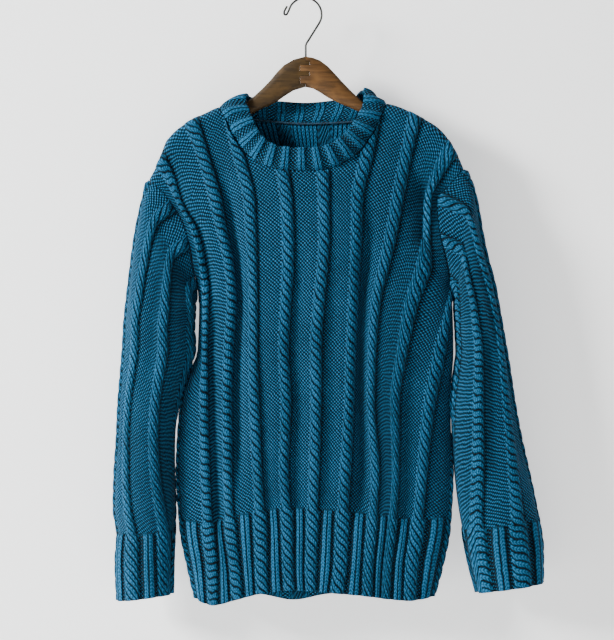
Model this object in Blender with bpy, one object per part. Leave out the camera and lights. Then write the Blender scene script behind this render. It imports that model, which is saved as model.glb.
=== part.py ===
"""Cable-knit sweater hanging on a wooden coat hanger with a wire hook.

Units are metres, +Z is up and the front of the sweater faces -Y. The origin is where the hook rests on
what carries it: the highest point of the inside of the hook's bend. The tables below are in millimetres:
"across" is along X, "drop" is downwards, and both are measured from a point that ORIGIN moves to the
origin.

Cloth is described by two coordinates. A wale runs down the cloth and has a number in stitch widths, ten to a
repeat of one cable and the purl ground beside it. The way down a wale is measured along the cloth from the
shoulder line. Every panel is a thin wall: its middle surface, moved out by half the wall and the height of
the cables and ribs, and moved in by half the wall.
"""
from math import cos, pi, sin, tau

import bmesh
import bpy
import numpy as np
from mathutils import Vector

MM = 0.001
ORIGIN = np.array([1.8, 0.0, -1.2])      # the origin, as measured in the tables

# Yarn, gauge and wall
WALL = 3.0                 # thickness of the knitted ground
REPEAT = 10.0              # wales in one cable and its purl ground
CABLE_FLAT = 0.9           # half the width of a cable's top, in wales
CABLE_FOOT = 1.75          # half the width of a cable's foot, in wales
CABLE_HEIGHT = 3.0         # how far a cable stands out of the ground
RIB_HEIGHT = 1.8           # how far the knit ribs of hem and cuffs stand out
RIB_FOOT = 2.6             # half the width of a rib's foot, in wales
RIB_START = 12.0           # length of wale over which a rib rises out of the ground
SEAM_GAP = 0.3             # what is left between two pieces that are sewn together
SEAM_BEVEL = 0.9           # how far the inside of a wall stands back at the armhole seam
SELVAGE = 1.2              # wales over which a cable dies away beside a seam
EDGE_STRIPS = 6            # strips beside a side seam in which the inside of a wall keeps all its rows
EDGE_RISE = 4.0            # length of wale in which the cables rise at the top of a panel
CLOSEST = 0.8              # the least space between a grid column and the end of its panel, in wales

# Body
LEFT_EDGE, RIGHT_EDGE = -45.0, 55.0      # wales at the two side seams of the front
BACK_EDGE = 50.0                         # wale at the right side seam of the back, and the same at the left
ENDS = {-1: (LEFT_EDGE, RIGHT_EDGE), 1: (-BACK_EDGE, BACK_EDGE)}     # the front's side is -1, the back's 1
CABLE_OFFSET = 5.0                       # wale of one cable of the front and the back
STRAIGHT_WALE = 35.0                     # inside this wale the columns of the grid are wales
ARMHOLE_WALE = 40.0                      # the cloth's own edge beside the armhole, in wales from the middle
# How the cloth widens under the armhole: wales more, from which drop, over how much of it
FRONT_LEFT_WIDENING = ((5.0, 370, 120),)
FRONT_RIGHT_WIDENING = ((10.0, 340, 60), (5.0, 420, 200))
BACK_WIDENING = ((10.0, 330, 60),)
ROLL = 9.0                               # how round the shoulder lies over the hanger's arm
SWELL = 110.0                            # way down a wale in which the roll opens to the full depth
HEM_RIB = 104.0                          # height of the hem's rib
BODY_ROWS = 28                           # steps of the grid down the front, an even number
BACK_ROWS = 22                           # steps of the grid down the back, an even number

# Front wales at each section: where they lie across, from the left seam to the right one.
# "turned" is 1 where the edge turns round to the side seam, and 0 beside the armhole.
STATIONS = (-45, -35, -25, -15, -5, 5, 15, 25, 35, 45, 55)
FRONT_SECTIONS = (
    # drop, turned, left seam, cables from left to right, right seam
    (259, 0, (-170, -158, -111, -68, -21, 26, 68, 119, 158, 164, 169)),
    (297, 0, (-149, -139, -104, -66, -19, 27, 67, 112, 155, 164, 172)),
    (338, 0, (-140, -129, -95, -64, -19, 25, 65, 103, 149, 168, 181)),
    (386, 1, (-132, -123, -91, -63, -22, 20, 63, 92, 136, 178, 188)),
    (450, 1, (-134, -125, -95, -63, -25, 16, 60, 87, 124, 162, 190)),
    (513, 1, (-154, -126, -97, -62, -22, 16, 58, 86, 115, 154, 186)),
    (602, 1, (-160, -124, -96, -58, -25, 14, 53, 92, 116, 150, 188)),
    (678, 1, (-155, -120, -92, -54, -20, 11, 49, 87, 111, 143, 184)),
    (723, 1, (-146, -115, -87, -53, -19, 9, 47, 83, 106, 136, 175)),
)
# Halfway between the shoulder line and the first section
HALFWAY = (-181, -168, -125, -83, -29, 25, 82, 130, 168, 179, 186)
HEM = (-136, -114, -83, -52, -17, 9, 42, 82, 103, 134, 164)
HEM_DROP = (764, 773, 765, 757, 753, 754, 757, 761, 764, 767, 762)
BACK_HEM_DROP = 763.0

# The shoulder line, from the left armhole over the neck to the right one: wale, across, drop
SHOULDER_LINE = (
    (-45.0, -196, 233), (-35.0, -182, 206), (-31.5, -173, 183), (-29.0, -163, 171), (-25.0, -142, 157),
    (-21.0, -123, 147.5), (-17.5, -108, 141), (-5.0, -30, 131), (5.0, 27, 131), (17.5, 106, 136.5),
    (21.0, 124, 141.5), (25.0, 142, 150.5), (30.0, 167, 164), (32.5, 180.5, 177), (35.0, 188.5, 190.5),
    (45.0, 197.5, 206), (55.0, 203, 219),
)
NECK_LEFT, NECK_RIGHT = -17.5, 17.5      # wales at which the neck opening begins
UNDERARM_DROP = 386.0
NECK_MIDDLE = (2.0, 0.0, -100.0)         # a point above the neck opening

# The front neck edge: wale, drop
NECK_FRONT = (
    (-17.5, 141), (-16.75, 152), (-15.9, 173), (-14.1, 193), (-13.25, 199), (-10.0, 214), (-5.0, 222),
    (0.0, 223), (5.0, 222), (10.0, 211), (13.25, 197), (14.1, 189), (15.9, 169), (16.75, 151), (17.5, 136.5),
)
# The back neck edge: wale, drop
NECK_BACK = (
    (-17.5, 141), (-15.9, 146), (-13.25, 152), (-10.0, 156), (0.0, 160), (10.0, 158), (13.25, 154),
    (15.9, 146), (17.5, 136.5),
)

# Depths at each section: how far the cloth stands out of the shoulder line's plane. Beside the armhole the
# bulge is a parabola that ends at its edge's depth; below the underarm it turns round to the side seam.
DEPTHS = (
    # drop, front middle, front edge, back middle, back edge
    (135, 15, 9, 13, 9),
    (200, 22, 12, 17, 12),
    (259, 27, 14, 21, 14),
    (297, 30, 15, 23, 15),
    (338, 31, 11, 24, 11),
    (386, 31, 0, 25, 0),
    (450, 30, 0, 25, 0),
    (602, 29, 0, 24, 0),
    (678, 27, 0, 23, 0),
    (770, 29, 0, 25, 0),
)
TURN_DROP, TURN_RUN = 330.0, 50.0        # where the change begins, and over how much drop
FLAT_POWER, ROUND_POWER = 2.0, 2.6       # how square the bulge is above and below it

# Folds: wale at the top, wale at the bottom, drop of the top and bottom, depth, half its width in wales
FRONT_FOLDS = (
    (-31.0, -30.0, 340, 740, 5.0, 2.6),      # between the two cables at the left side
    (-22.0, -21.5, 240, 640, 8.0, 2.8),      # beside the second cable
    (-2.5, 0.0, 250, 720, 7.0, 3.6),         # down the middle of the chest
    (9.0, 10.0, 300, 700, 2.5, 2.8),
    (18.0, 20.5, 250, 700, 8.5, 3.2),        # beside the sixth cable
    (29.0, 36.0, 215, 330, 9.0, 3.4),        # from the chest towards the right underarm
    (40.5, 40.0, 420, 720, 3.0, 3.2),
    (-32.5, -33.5, 262, 400, 6.0, 2.6),      # at the left underarm
    (-12.5, -10.5, 420, 740, 2.5, 2.6),
)
BACK_FOLDS = (
    (-34.0, -30.0, 250, 700, 6.0, 3.6),
    (-14.0, -11.0, 330, 740, 5.0, 3.4),
    (4.0, 2.0, 230, 640, 4.0, 3.8),
    (19.0, 21.0, 280, 720, 6.0, 3.4),
    (38.0, 33.0, 240, 640, 6.5, 3.2),
)
FOLD_IN, FOLD_OUT = 0.3, 0.25            # shares of a fold's length in which it begins and ends
FOLD_TOP = 40.0                          # way below the shoulder's roll in which folds begin
FOLD_ROOM = 12.0                         # depth of the cloth at which a fold is as deep as it says
FOLD_SIDE = 6.0                          # wales beside the side seam in which folds die away
BACK_MIDDLE, BACK_HALF = 12.0, 164.0     # where the middle of the back hangs, and half the width across it
BACK_STRAIGHT = 22.0                     # beyond this wale the back's wales turn towards its edges
BACK_CROSS = ((-50, -1.0), (-44, -0.93), (-30, -0.65), (0, 0.0), (30, 0.65), (44, 0.93), (50, 1.0))

# Sleeves
SLEEVE_HALF_TOP = 35.0       # half the wales round the top of a sleeve
SLEEVE_STRAIGHT = 20.0       # inside this wale a sleeve's columns are wales
CUFF_RIB = 82.0              # height of the cuff's rib
SLEEVE_ROWS = 22             # steps of the grid down a sleeve, an even number
RING_POINTS = 61             # points on half a ring
RING_SQUARE = 0.85           # how square a ring is: 1 is an ellipse
RING_SPREAD = 6.0            # added to the way between two rings, so that rows don't crowd
SEAM_STEP = 0.6              # how much further than the seam's gap a sleeve starts
SEAM_LOWER = 0.2             # how much lower than the shoulder's end it starts
UNDERARM_TURN = (290.0, 80.0)    # drop at which its seam begins to turn under the arm, and over how much
UNDERARM_STEP = 0.4          # how much further than the wall it stands out there

# Rings of a sleeve: the outer point and the inner one (across, drop), depth before and behind the plane, how
# far the ring's plane of symmetry lies forward, wales round half the sleeve, and how far its top wale is
# turned to the front, in wales
LEFT_RINGS = (
    (-203, 256, -139.0, 389, 20, 19, 0, 35.0, 1.5),
    (-209, 283, -139.5, 392, 25, 23, 0, 35.0, 1.5),
    (-214, 312, -140.5, 397, 28, 26, 0, 34.0, 1.5),
    (-218, 344, -142.0, 403, 30, 28, 0, 33.5, 1.5),
    (-222, 378, -143.0, 411, 31, 29, 0, 33.0, 1.5),
    (-226, 414, -144.0, 424, 31, 29, -2, 32.5, 1.5),
    (-228, 446, -142.5, 446, 30, 28, -3, 32.0, 1.5),
    (-231, 483, -151.5, 481, 29, 27, -4, 31.0, 1.5),
    (-234, 521, -160.5, 519, 27, 26, -6, 30.0, 1.5),
    (-236, 564, -165.4, 564, 26, 25, -8, 28.5, 1.5),
    (-239, 608, -165.8, 608, 25, 24, -8, 27.0, 1.5),
    (-240, 650, -165.8, 648, 25, 24, -6, 25.5, 1.5),
    (-235, 688, -168.0, 683, 23, 22, -4, 24.0, 1.5),
    (-237, 722, -170.0, 714, 22, 21, -4, 23.0, 1.5),
    (-235, 769, -171.0, 760, 22, 21, -4, 22.5, 1.5),
)
RIGHT_RINGS = (
    (213, 241, 194.5, 391, 20, 19, 0, 35.0, -1.0),
    (219, 265, 195.0, 396, 25, 23, 0, 35.0, -1.0),
    (225, 299, 196.0, 402, 28, 26, 0, 34.0, -1.5),
    (232, 331, 197.0, 409, 30, 28, 0, 33.5, -2.0),
    (241, 365, 198.0, 418, 31, 29, 0, 33.0, -2.0),
    (247, 398, 198.5, 430, 31, 29, -1, 32.5, -2.0),
    (253, 432, 199.5, 450, 30, 28, -2, 32.0, -2.0),
    (260, 471, 195.0, 481, 29, 27, -5, 31.0, -2.0),
    (267, 515, 189.5, 519, 28, 26, -8, 30.0, -2.0),
    (276, 562, 191.0, 568, 27, 25, -8, 28.5, -2.0),
    (285, 602, 194.5, 612, 26, 24, -6, 27.0, -2.0),
    (293, 640, 199.5, 652, 25, 24, -4, 25.5, -2.0),
    (299, 672, 205.5, 684, 23, 22, -4, 24.0, -2.0),
    (303, 705, 213.0, 717, 22, 21, -4, 23.0, -2.0),
    (303, 746.5, 224.0, 758, 22, 21, -4, 22.5, -2.0),
)
# Folds of a sleeve: wale at the top, wale at the bottom, ring of the top and bottom, depth, half width
LEFT_SLEEVE_FOLDS = ((5.5, 6.5, 5.0, 13.5, 8.0, 2.8), (17.0, 16.0, 2.0, 9.0, 4.0, 3.0))
RIGHT_SLEEVE_FOLDS = ((-6.0, -5.5, 1.0, 12.5, 7.0, 2.8), (-16.0, -15.0, 6.0, 12.0, 4.0, 2.8))
SLEEVE_BACK_FOLDS = ((14.0, 13.0, 2.0, 13.0, 5.0, 3.0), (24.0, 20.0, 1.0, 9.0, 4.0, 3.0))

# Neckband
BAND_RIBS = 24               # pairs of knit ribs and purl furrows round the band
BAND_ROWS = 4                # steps of the grid across the band, an even number
BAND_RIB_HEIGHT = 1.8
BAND_FOOT_RIB = 0.2          # share of that height at the band's foot
BAND_STEP = 0.4              # how much further than the seam's gap the band starts
# Going round from the middle of the front to the wearer's right, the left side of the picture: share of the
# way round, then across, back (positive is away from the viewer) and drop of the crest's guide point and of
# the band's free edge
BAND_STATIONS = (
    (0.000, 2, -30, 208, 2, -25, 194),
    (0.070, -31, -29, 206, -29, -24, 192),
    (0.130, -55, -27, 196, -49, -21, 182),
    (0.190, -73, -22, 176, -60, -17, 167),
    (0.240, -84, -17, 150, -67, -14, 150),
    (0.285, -92, -14, 132, -73, -10, 135),
    (0.318, -91, -2, 126, -74, -1, 124),
    (0.350, -87, 8, 125, -71, 8, 125),
    (0.390, -66, 16, 126, -58, 14, 129),
    (0.440, -34, 18, 140, -32, 18, 130),
    (0.500, 3, 19, 146, 2, 19, 132),
    (0.560, 42, 18, 140, 39, 18, 129),
    (0.610, 75, 15, 124, 64, 14, 126),
    (0.650, 91, 8, 121, 74, 7, 119),
    (0.682, 95, -2, 121, 77, -1, 118),
    (0.715, 95, -14, 129, 77, -10, 129),
    (0.760, 88, -19, 150, 71, -14, 149),
    (0.810, 78, -24, 172, 62, -17, 163),
    (0.870, 60, -28, 194, 48, -21, 179),
    (0.930, 36, -30, 206, 28, -24, 191),
)

# Hanger
BOARD = 11.0                 # thickness of the wood
BOARD_ROUND = 12             # corners of a slice through the wood
BOARD_SQUARE = (0.7, 0.62)   # how square a slice is, across the board and up it: 1 is an ellipse
TIP_THICKNESS = 0.45         # share of the thickness that is left where the wood runs out to nothing
TIP_HEIGHT = 14.0            # half height of a slice that adds the whole thickness to that
HALF_GAP = 0.3               # left between the two wooden halves
# The wooden arms as slices from tip to tip: across, drop of the top edge, drop of the bottom edge
ARM_SLICES = (
    (-170.5, 188, 194), (-169, 185.5, 198), (-164.5, 181.5, 200.5), (-155, 175, 199), (-142, 167, 192.5),
    (-125, 158, 181), (-107, 151, 171), (-86, 142.5, 161), (-66, 128, 148), (-52, 115, 141),
    (-42, 104.5, 136.5), (-34, 94.5, 132.5), (-25, 85.5, 126), (-13, 78.5, 118.5), (2, 74.5, 114),
    (12, 76, 116), (21, 79.5, 121), (31, 87, 127.5), (40, 96.5, 132), (49, 106.5, 136), (61, 119, 141),
    (74, 131.5, 146.5), (90, 142.2, 156), (106, 149.5, 163.5), (122, 154.5, 169.5),
    (142, 160.5, 176.5), (158, 169, 184.5), (168.5, 176, 190), (174, 180.5, 191.5), (176, 183.5, 188.5),
)
# The finger joint: drop at which each finger ends, and how far across it reaches
FINGER_ENDS = ((80.5, 2.4), (86.0, 7.6), (94.2, -4.6), (100.4, 7.6), (110.0, -4.6), (230.0, 2.4))
CUT_TOP = 60.0               # drop above the wood at which the cutters begin
CUT_ACROSS = 260.0           # how far across they reach
CUT_HALF = 20.0              # half their depth

# Hook
WIRE = 2.8
STEM_ACROSS = 2.7
BEND_ACROSS, BEND_DROP = 1.8, 21.0       # centre of the bend
BEND_RADIUS = 21.2                       # to the middle of the wire
ARCH_DEGREES = (-33.0, 153.0)            # where the bend begins and ends, from the right side over the top
ARCH_STEPS = 19
# The hook's middle line below the bend and past it: across, drop
HOOK_STEM = (
    (STEM_ACROSS, 92.0), (STEM_ACROSS, 75.0), (STEM_ACROSS, 61.5), (3.5, 58.4), (5.2, 55.6), (14.6, 40.6),
)
HOOK_HAIRPIN = (
    (-18.4, 14.5), (-19.6, 17.3), (-20.7, 19.6), (-21.7, 20.9), (-23.1, 21.4), (-24.4, 20.9), (-25.0, 19.6),
    (-24.9, 18.0), (-23.8, 15.2), (-22.3, 12.5), (-20.9, 10.4),
)
HOLE_CLEARANCE = 0.3
HOLE_DEPTH_DROP = 92.3                   # drop of the hole's blind end


def through(stations, values, at, flat_ends=False):
    """Smooth curve through the values, which never overshoots them; the ends are held beyond them."""
    x = np.asarray(stations, float)
    y = np.asarray(values, float)
    at = np.clip(np.asarray(at, float), x[0], x[-1])
    step = np.diff(x)
    rise = np.diff(y) / step
    slope = np.zeros_like(y)
    same_way = rise[:-1] * rise[1:] > 0
    both = np.where(same_way, rise[:-1] + rise[1:], 1.0)
    slope[1:-1] = np.where(same_way, 2 * rise[:-1] * rise[1:] / both, 0.0)
    if not flat_ends:
        slope[0] = rise[0]
        slope[-1] = rise[-1]
    i = np.clip(np.searchsorted(x, at, side="right") - 1, 0, len(x) - 2)
    t = (at - x[i]) / step[i]
    return (y[i] * (1 + 2 * t) * (1 - t) ** 2 + slope[i] * step[i] * t * (1 - t) ** 2
            + y[i + 1] * t * t * (3 - 2 * t) + slope[i + 1] * step[i] * t * t * (t - 1))


def smooth(t):
    """Ease from 0 to 1."""
    t = np.clip(t, 0.0, 1.0)
    return t * t * (3 - 2 * t)


def placed(points):
    """Points of the tables in metres from the origin."""
    return (np.asarray(points, float) - ORIGIN) * MM


def column(table, index):
    """One named column of a table."""
    return [row[index] for row in table]


def fold_depth(wale, drop, folds):
    """How far the folds press the cloth in, at a wale and a drop."""
    total = np.zeros(np.broadcast(wale, drop).shape)
    for top_wale, bottom_wale, top, bottom, depth, width in folds:
        way = (drop - top) / (bottom - top)
        middle = top_wale + (bottom_wale - top_wale) * np.clip(way, 0, 1)
        fade = smooth(way / FOLD_IN) * smooth((1 - way) / FOLD_OUT)
        total = total + depth * fade * np.exp(-((wale - middle) / width) ** 2)
    return total


def shoulder_point(wale):
    """Across and drop of the shoulder line at a wale."""
    wales = column(SHOULDER_LINE, 0)
    return through(wales, column(SHOULDER_LINE, 1), wale), through(wales, column(SHOULDER_LINE, 2), wale)


def front_guides(wale):
    """Guide points of the front's wales, from the shoulder line to the hem: two arrays, wales by guides."""
    top_across, top_drop = shoulder_point(wale)
    first_drop = FRONT_SECTIONS[0][0]
    across = [top_across, through(STATIONS, HALFWAY, wale)]
    drop = [top_drop, (top_drop + first_drop) / 2]
    for section_drop, turned, places in FRONT_SECTIONS:
        across.append(through(STATIONS, places, wale, flat_ends=bool(turned)))
        drop.append(np.full(len(wale), float(section_drop)))
    across.append(through(STATIONS, HEM, wale, flat_ends=True))
    drop.append(through(STATIONS, HEM_DROP, wale))
    return np.array(across).T, np.array(drop).T


def edge_across(drop, side):
    """Where the front's left (0) or right (-1) edge lies across at a drop."""
    tip_across, tip_drop = shoulder_point(np.array([STATIONS[side]], float))
    drops = [tip_drop[0]] + column(FRONT_SECTIONS, 0) + [HEM_DROP[side]]
    places = [tip_across[0]] + [row[2][side] for row in FRONT_SECTIONS] + [HEM[side]]
    return through(drops, places, drop)


def back_guides(wale):
    """Guide points of the back's wales: the front's edges, with the wales evenly spread between them."""
    top_across, top_drop = shoulder_point(wale + back_shift(wale))
    share = through(column(BACK_CROSS, 0), column(BACK_CROSS, 1), wale)
    turned_share = through(column(BACK_CROSS, 0), column(BACK_CROSS, 1), wale, flat_ends=True)
    beside = smooth((np.abs(wale) - BACK_STRAIGHT) / (BACK_EDGE - BACK_STRAIGHT))
    across = [top_across]
    drop = [top_drop]
    rows = [(row[0], row[1], row[2][0], row[2][-1]) for row in FRONT_SECTIONS]
    rows.append((BACK_HEM_DROP, 1, HEM[0], HEM[-1]))
    for section_drop, turned, left, right in rows:
        spread = turned_share if turned else share
        to_edges = (left + right) / 2 + (right - left) / 2 * spread
        straight = BACK_MIDDLE + BACK_HALF * share
        across.append(straight + (to_edges - straight) * beside)
        drop.append(np.full(len(wale), float(section_drop)))
    across.insert(1, (top_across + across[1]) / 2)
    drop.insert(1, (top_drop + rows[0][0]) / 2)
    return np.array(across).T, np.array(drop).T


def back_shift(wale):
    """Difference between a back wale and the shoulder line's wale above it."""
    to_edge = smooth((np.abs(wale) - NECK_RIGHT) / (BACK_EDGE - NECK_RIGHT))
    return np.where(wale < 0, LEFT_EDGE + BACK_EDGE, RIGHT_EDGE - BACK_EDGE) * to_edge


def guides_of(side, wale):
    """Guide points of the front (side -1) or the back (side 1)."""
    return front_guides(wale) if side < 0 else back_guides(wale)


def along(guides, way):
    """Places on each wale at a way down it: guides are (across, drop), and way is wales by rows."""
    across, drop = guides
    length = np.concatenate([np.zeros((len(across), 1)),
                             np.cumsum(np.hypot(np.diff(across), np.diff(drop)), axis=1)], axis=1)
    places = [(through(length[i], across[i], way[i]), through(length[i], drop[i], way[i]))
              for i in range(len(across))]
    return np.array([p[0] for p in places]), np.array([p[1] for p in places])


def wale_length(guides):
    """Length of each wale, from the shoulder line to the hem."""
    across, drop = guides
    return np.hypot(np.diff(across), np.diff(drop)).sum(axis=1)


def panel_surface(side, wale, way):
    """Middle surface of the front (side -1) or the back (side 1), in millimetres: wales by rows by XYZ."""
    x, drop = along(guides_of(side, wale), way)
    left = edge_across(drop, 0)
    right = edge_across(drop, -1)
    share = np.clip(np.abs((x - (left + right) / 2) / ((right - left) / 2)), 0, 1)
    drops = column(DEPTHS, 0)
    full = through(drops, column(DEPTHS, 1 if side < 0 else 3), drop)
    edge = through(drops, column(DEPTHS, 2 if side < 0 else 4), drop)
    turned = smooth((drop - TURN_DROP) / TURN_RUN)
    power = FLAT_POWER + (ROUND_POWER - FLAT_POWER) * turned
    root = 1.0 - turned * (1 - 1 / power)
    bulge = edge + (full - edge) * (1 - share ** power) ** root
    inside_roll = np.clip(way, 0, ROLL)
    roll = np.sqrt(ROLL ** 2 - (ROLL - inside_roll) ** 2)
    opened = smooth((way - ROLL) / SWELL)
    depth = roll + (bulge - ROLL) * opened
    folds = FRONT_FOLDS if side < 0 else BACK_FOLDS
    fade = smooth((way - ROLL) / FOLD_TOP) * np.clip(depth / FOLD_ROOM, 0, 1)
    first, last = ENDS[side]
    fade = fade * (smooth((wale - first) / FOLD_SIDE) * smooth((last - wale) / FOLD_SIDE))[:, None]
    depth = depth - fade * fold_depth(wale[:, None], drop, folds)
    y = side * (np.maximum(depth, 0) + SEAM_GAP / 2)
    return np.stack([x, y, -drop], axis=-1)


def edge_wale(drop, widening):
    """How many of the cloth's own wales lie between the middle and one edge, at a drop."""
    wales = ARMHOLE_WALE + 0 * drop
    for more, start, run in widening:
        wales = wales + more * smooth((drop - start) / run)
    return wales


def cloth_wale(grid_wale, drop, side):
    """The cloth's own wale at a grid column, and the wales from there to the nearest edge."""
    left_edge = -edge_wale(drop, FRONT_LEFT_WIDENING if side < 0 else BACK_WIDENING)
    right_edge = edge_wale(drop, FRONT_RIGHT_WIDENING if side < 0 else BACK_WIDENING)
    first, last = ENDS[side]
    left_share = (left_edge + STRAIGHT_WALE) / (first + STRAIGHT_WALE)
    right_share = (right_edge - STRAIGHT_WALE) / (last - STRAIGHT_WALE)
    outer_left = -STRAIGHT_WALE + (grid_wale + STRAIGHT_WALE) * left_share
    outer_right = STRAIGHT_WALE + (grid_wale - STRAIGHT_WALE) * right_share
    wale = np.where(grid_wale < -STRAIGHT_WALE, outer_left, grid_wale)
    wale = np.where(grid_wale > STRAIGHT_WALE, outer_right, wale)
    return wale, np.minimum(wale - left_edge, right_edge - wale)


def cable_height(wale, offset):
    """Height of the cables over the ground; offset is the wale of one of them."""
    beside = np.abs((wale - offset + REPEAT / 2) % REPEAT - REPEAT / 2)
    return CABLE_HEIGHT * np.clip((CABLE_FOOT - beside) / (CABLE_FOOT - CABLE_FLAT), 0, 1)


def rib_height(wale, offset):
    """Height of the knit rib midway between two cables, in the hem and the cuffs."""
    beside = np.abs((wale - offset) % REPEAT - REPEAT / 2)
    return RIB_HEIGHT * np.clip(1 - beside / RIB_FOOT, 0, 1)


def panel_normals(side, wale, way):
    """Unit normals of a panel's middle surface, pointing out of the sweater."""
    small = 0.02
    low = np.clip(wale - small, *ENDS[side])
    high = np.clip(wale + small, *ENDS[side])
    over = panel_surface(side, high, way) - panel_surface(side, low, way)
    down = panel_surface(side, wale, way + small) - panel_surface(side, wale, np.maximum(way - small, 0))
    normal = np.cross(over, down) * side
    return normal / np.linalg.norm(normal, axis=-1, keepdims=True)


def wall_object(name, outer, inner, closed, finish):
    """One closed thin wall. The inside keeps every second row of its grid, and all rows near an open end."""
    rows, columns = outer.shape[:2]
    points = placed(np.concatenate([outer.reshape(-1, 3), inner.reshape(-1, 3)]))
    first_inner = rows * columns
    last = columns if closed else columns - 1
    faces = []

    def out(r, c):
        return r * columns + c % columns

    def ins(r, c):
        return first_inner + r * columns + c % columns

    for c in range(last):
        for r in range(rows - 1):
            faces.append((out(r, c), out(r + 1, c), out(r + 1, c + 1)))
            faces.append((out(r, c), out(r + 1, c + 1), out(r, c + 1)))
        for r in range(0, rows - 1, 2):
            if closed or EDGE_STRIPS < c < last - 1 - EDGE_STRIPS:
                rounds = [[ins(r, c), ins(r + 2, c), ins(r + 2, c + 1), ins(r, c + 1)]]
            elif c == EDGE_STRIPS:
                rounds = [[ins(r + 1, c), ins(r + 2, c), ins(r + 2, c + 1), ins(r, c + 1), ins(r, c)]]
            elif c == last - 1 - EDGE_STRIPS:
                rounds = [[ins(r + 1, c + 1), ins(r, c + 1), ins(r, c), ins(r + 2, c), ins(r + 2, c + 1)]]
            else:
                rounds = [[ins(k, c), ins(k + 1, c), ins(k + 1, c + 1), ins(k, c + 1)] for k in (r, r + 1)]
            for corners in rounds:
                for k in range(1, len(corners) - 1):
                    faces.append((corners[0], corners[k], corners[k + 1]))
        faces.append((ins(0, c), out(0, c), out(0, c + 1)))
        faces.append((ins(0, c), out(0, c + 1), ins(0, c + 1)))
        faces.append((out(rows - 1, c), ins(rows - 1, c), ins(rows - 1, c + 1)))
        faces.append((out(rows - 1, c), ins(rows - 1, c + 1), out(rows - 1, c + 1)))
    if not closed:
        end = columns - 1
        for r in range(rows - 1):
            faces.append((ins(r, 0), out(r + 1, 0), out(r, 0)))
            faces.append((ins(r, 0), ins(r + 1, 0), out(r + 1, 0)))
            faces.append((ins(r, end), out(r, end), out(r + 1, end)))
            faces.append((ins(r, end), out(r + 1, end), ins(r + 1, end)))
    mesh = bpy.data.meshes.new(name)
    mesh.from_pydata([tuple(p) for p in points], [], faces)
    shaped = bmesh.new()
    shaped.from_mesh(mesh)
    unused = [vertex for vertex in shaped.verts if not vertex.link_faces]
    bmesh.ops.delete(shaped, geom=unused, context="VERTS")
    bmesh.ops.recalc_face_normals(shaped, faces=shaped.faces)
    if shaped.calc_volume(signed=True) < 0:
        bmesh.ops.reverse_faces(shaped, faces=shaped.faces)
    shaped.to_mesh(mesh)
    shaped.free()
    mesh.shade_smooth()
    mesh.materials.append(finish)
    made = bpy.data.objects.new(name, mesh)
    bpy.context.collection.objects.link(made)
    return made


def cable_columns(first, last, offset, extra=()):
    """Grid columns: the edges of each cable's top and foot, the middle of the ground and the ends."""
    places = {first, last, *extra}
    repeat = int((first - offset) // REPEAT) - 1
    while offset + repeat * REPEAT < last + REPEAT:
        cable = offset + repeat * REPEAT
        for beside in (-CABLE_FOOT, -CABLE_FLAT, CABLE_FLAT, CABLE_FOOT, REPEAT / 2):
            if first + CLOSEST < cable + beside < last - CLOSEST:
                places.add(cable + beside)
        repeat += 1
    return np.array(sorted(places))


def way_at_drop(guides, drop):
    """The way down each wale at which it reaches a drop."""
    length = wale_length(guides)
    found = []
    for i in range(len(length)):
        way = np.arange(0.0, length[i], 2.0)
        _, drops = along((guides[0][i:i + 1], guides[1][i:i + 1]), way[None, :])
        found.append(np.interp(drop[i], drops[0], way))
    return np.array(found)


def panel_ways(side, wale, rows):
    """Where the rows of the grid lie on each wale: four close rows over the shoulder, then even ones."""
    guides = guides_of(side, wale)
    neck = NECK_FRONT if side < 0 else NECK_BACK
    top = np.zeros(len(wale))
    in_neck = (wale > NECK_LEFT) & (wale < NECK_RIGHT)
    edge_drop = through(column(neck, 0), column(neck, 1), wale)
    top[in_neck] = way_at_drop(guides, edge_drop)[in_neck]
    close = [ROLL * (1 - cos(angle)) for angle in (0.0, pi / 6, pi / 3, pi / 2)]
    even = np.linspace(0, 1, rows - 2)[1:]
    length = wale_length(guides)
    ways = [top + step for step in close]
    ways += [top + ROLL + (length - top - ROLL) * share for share in even]
    return np.array(ways).T


def panel_grids(side, rows):
    """Wales, then the middle, outer and inner grids of a panel and its normals: wales by rows by XYZ."""
    wale = cable_columns(*ENDS[side], CABLE_OFFSET, (NECK_LEFT, NECK_RIGHT))
    way = panel_ways(side, wale, rows)
    middle = panel_surface(side, wale, way)
    normal = panel_normals(side, wale, way)
    drop = -middle[..., 2]
    knit, to_edge = cloth_wale(wale[:, None], drop, side)
    to_rib = wale_length(guides_of(side, wale))[:, None] - HEM_RIB
    in_rib = smooth((way - to_rib) / RIB_START + 0.5)
    height = np.maximum(cable_height(knit, CABLE_OFFSET), rib_height(knit, CABLE_OFFSET) * in_rib)
    from_top = np.clip((way - way[:, :1]) / EDGE_RISE + 0.25, 0, 1)
    height = height * np.clip(to_edge / SELVAGE, 0, 1) * from_top
    outer = middle + normal * (WALL / 2 + height[..., None])
    inner = middle - normal * (WALL / 2)
    shoulder = (wale <= NECK_LEFT) | (wale >= NECK_RIGHT)
    for grid in (outer, inner):
        grid[..., 1] = side * np.maximum(side * grid[..., 1], SEAM_GAP / 2)
        grid[shoulder, 0, 1] = side * SEAM_GAP / 2
    for edge, outwards in ((0, -1), (-1, 1)):
        under = drop[edge] > UNDERARM_DROP - 1
        for grid in (outer, inner):
            grid[edge, under, 1] = side * SEAM_GAP / 2
        inner[edge, ~under, 0] -= outwards * SEAM_BEVEL
    return wale, middle, outer, inner, normal


def closed_ring(front, back):
    """A closed ring from its front and back halves, both from the outer point to the inner one."""
    return np.concatenate([front, back[::-1][1:-1]])


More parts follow.
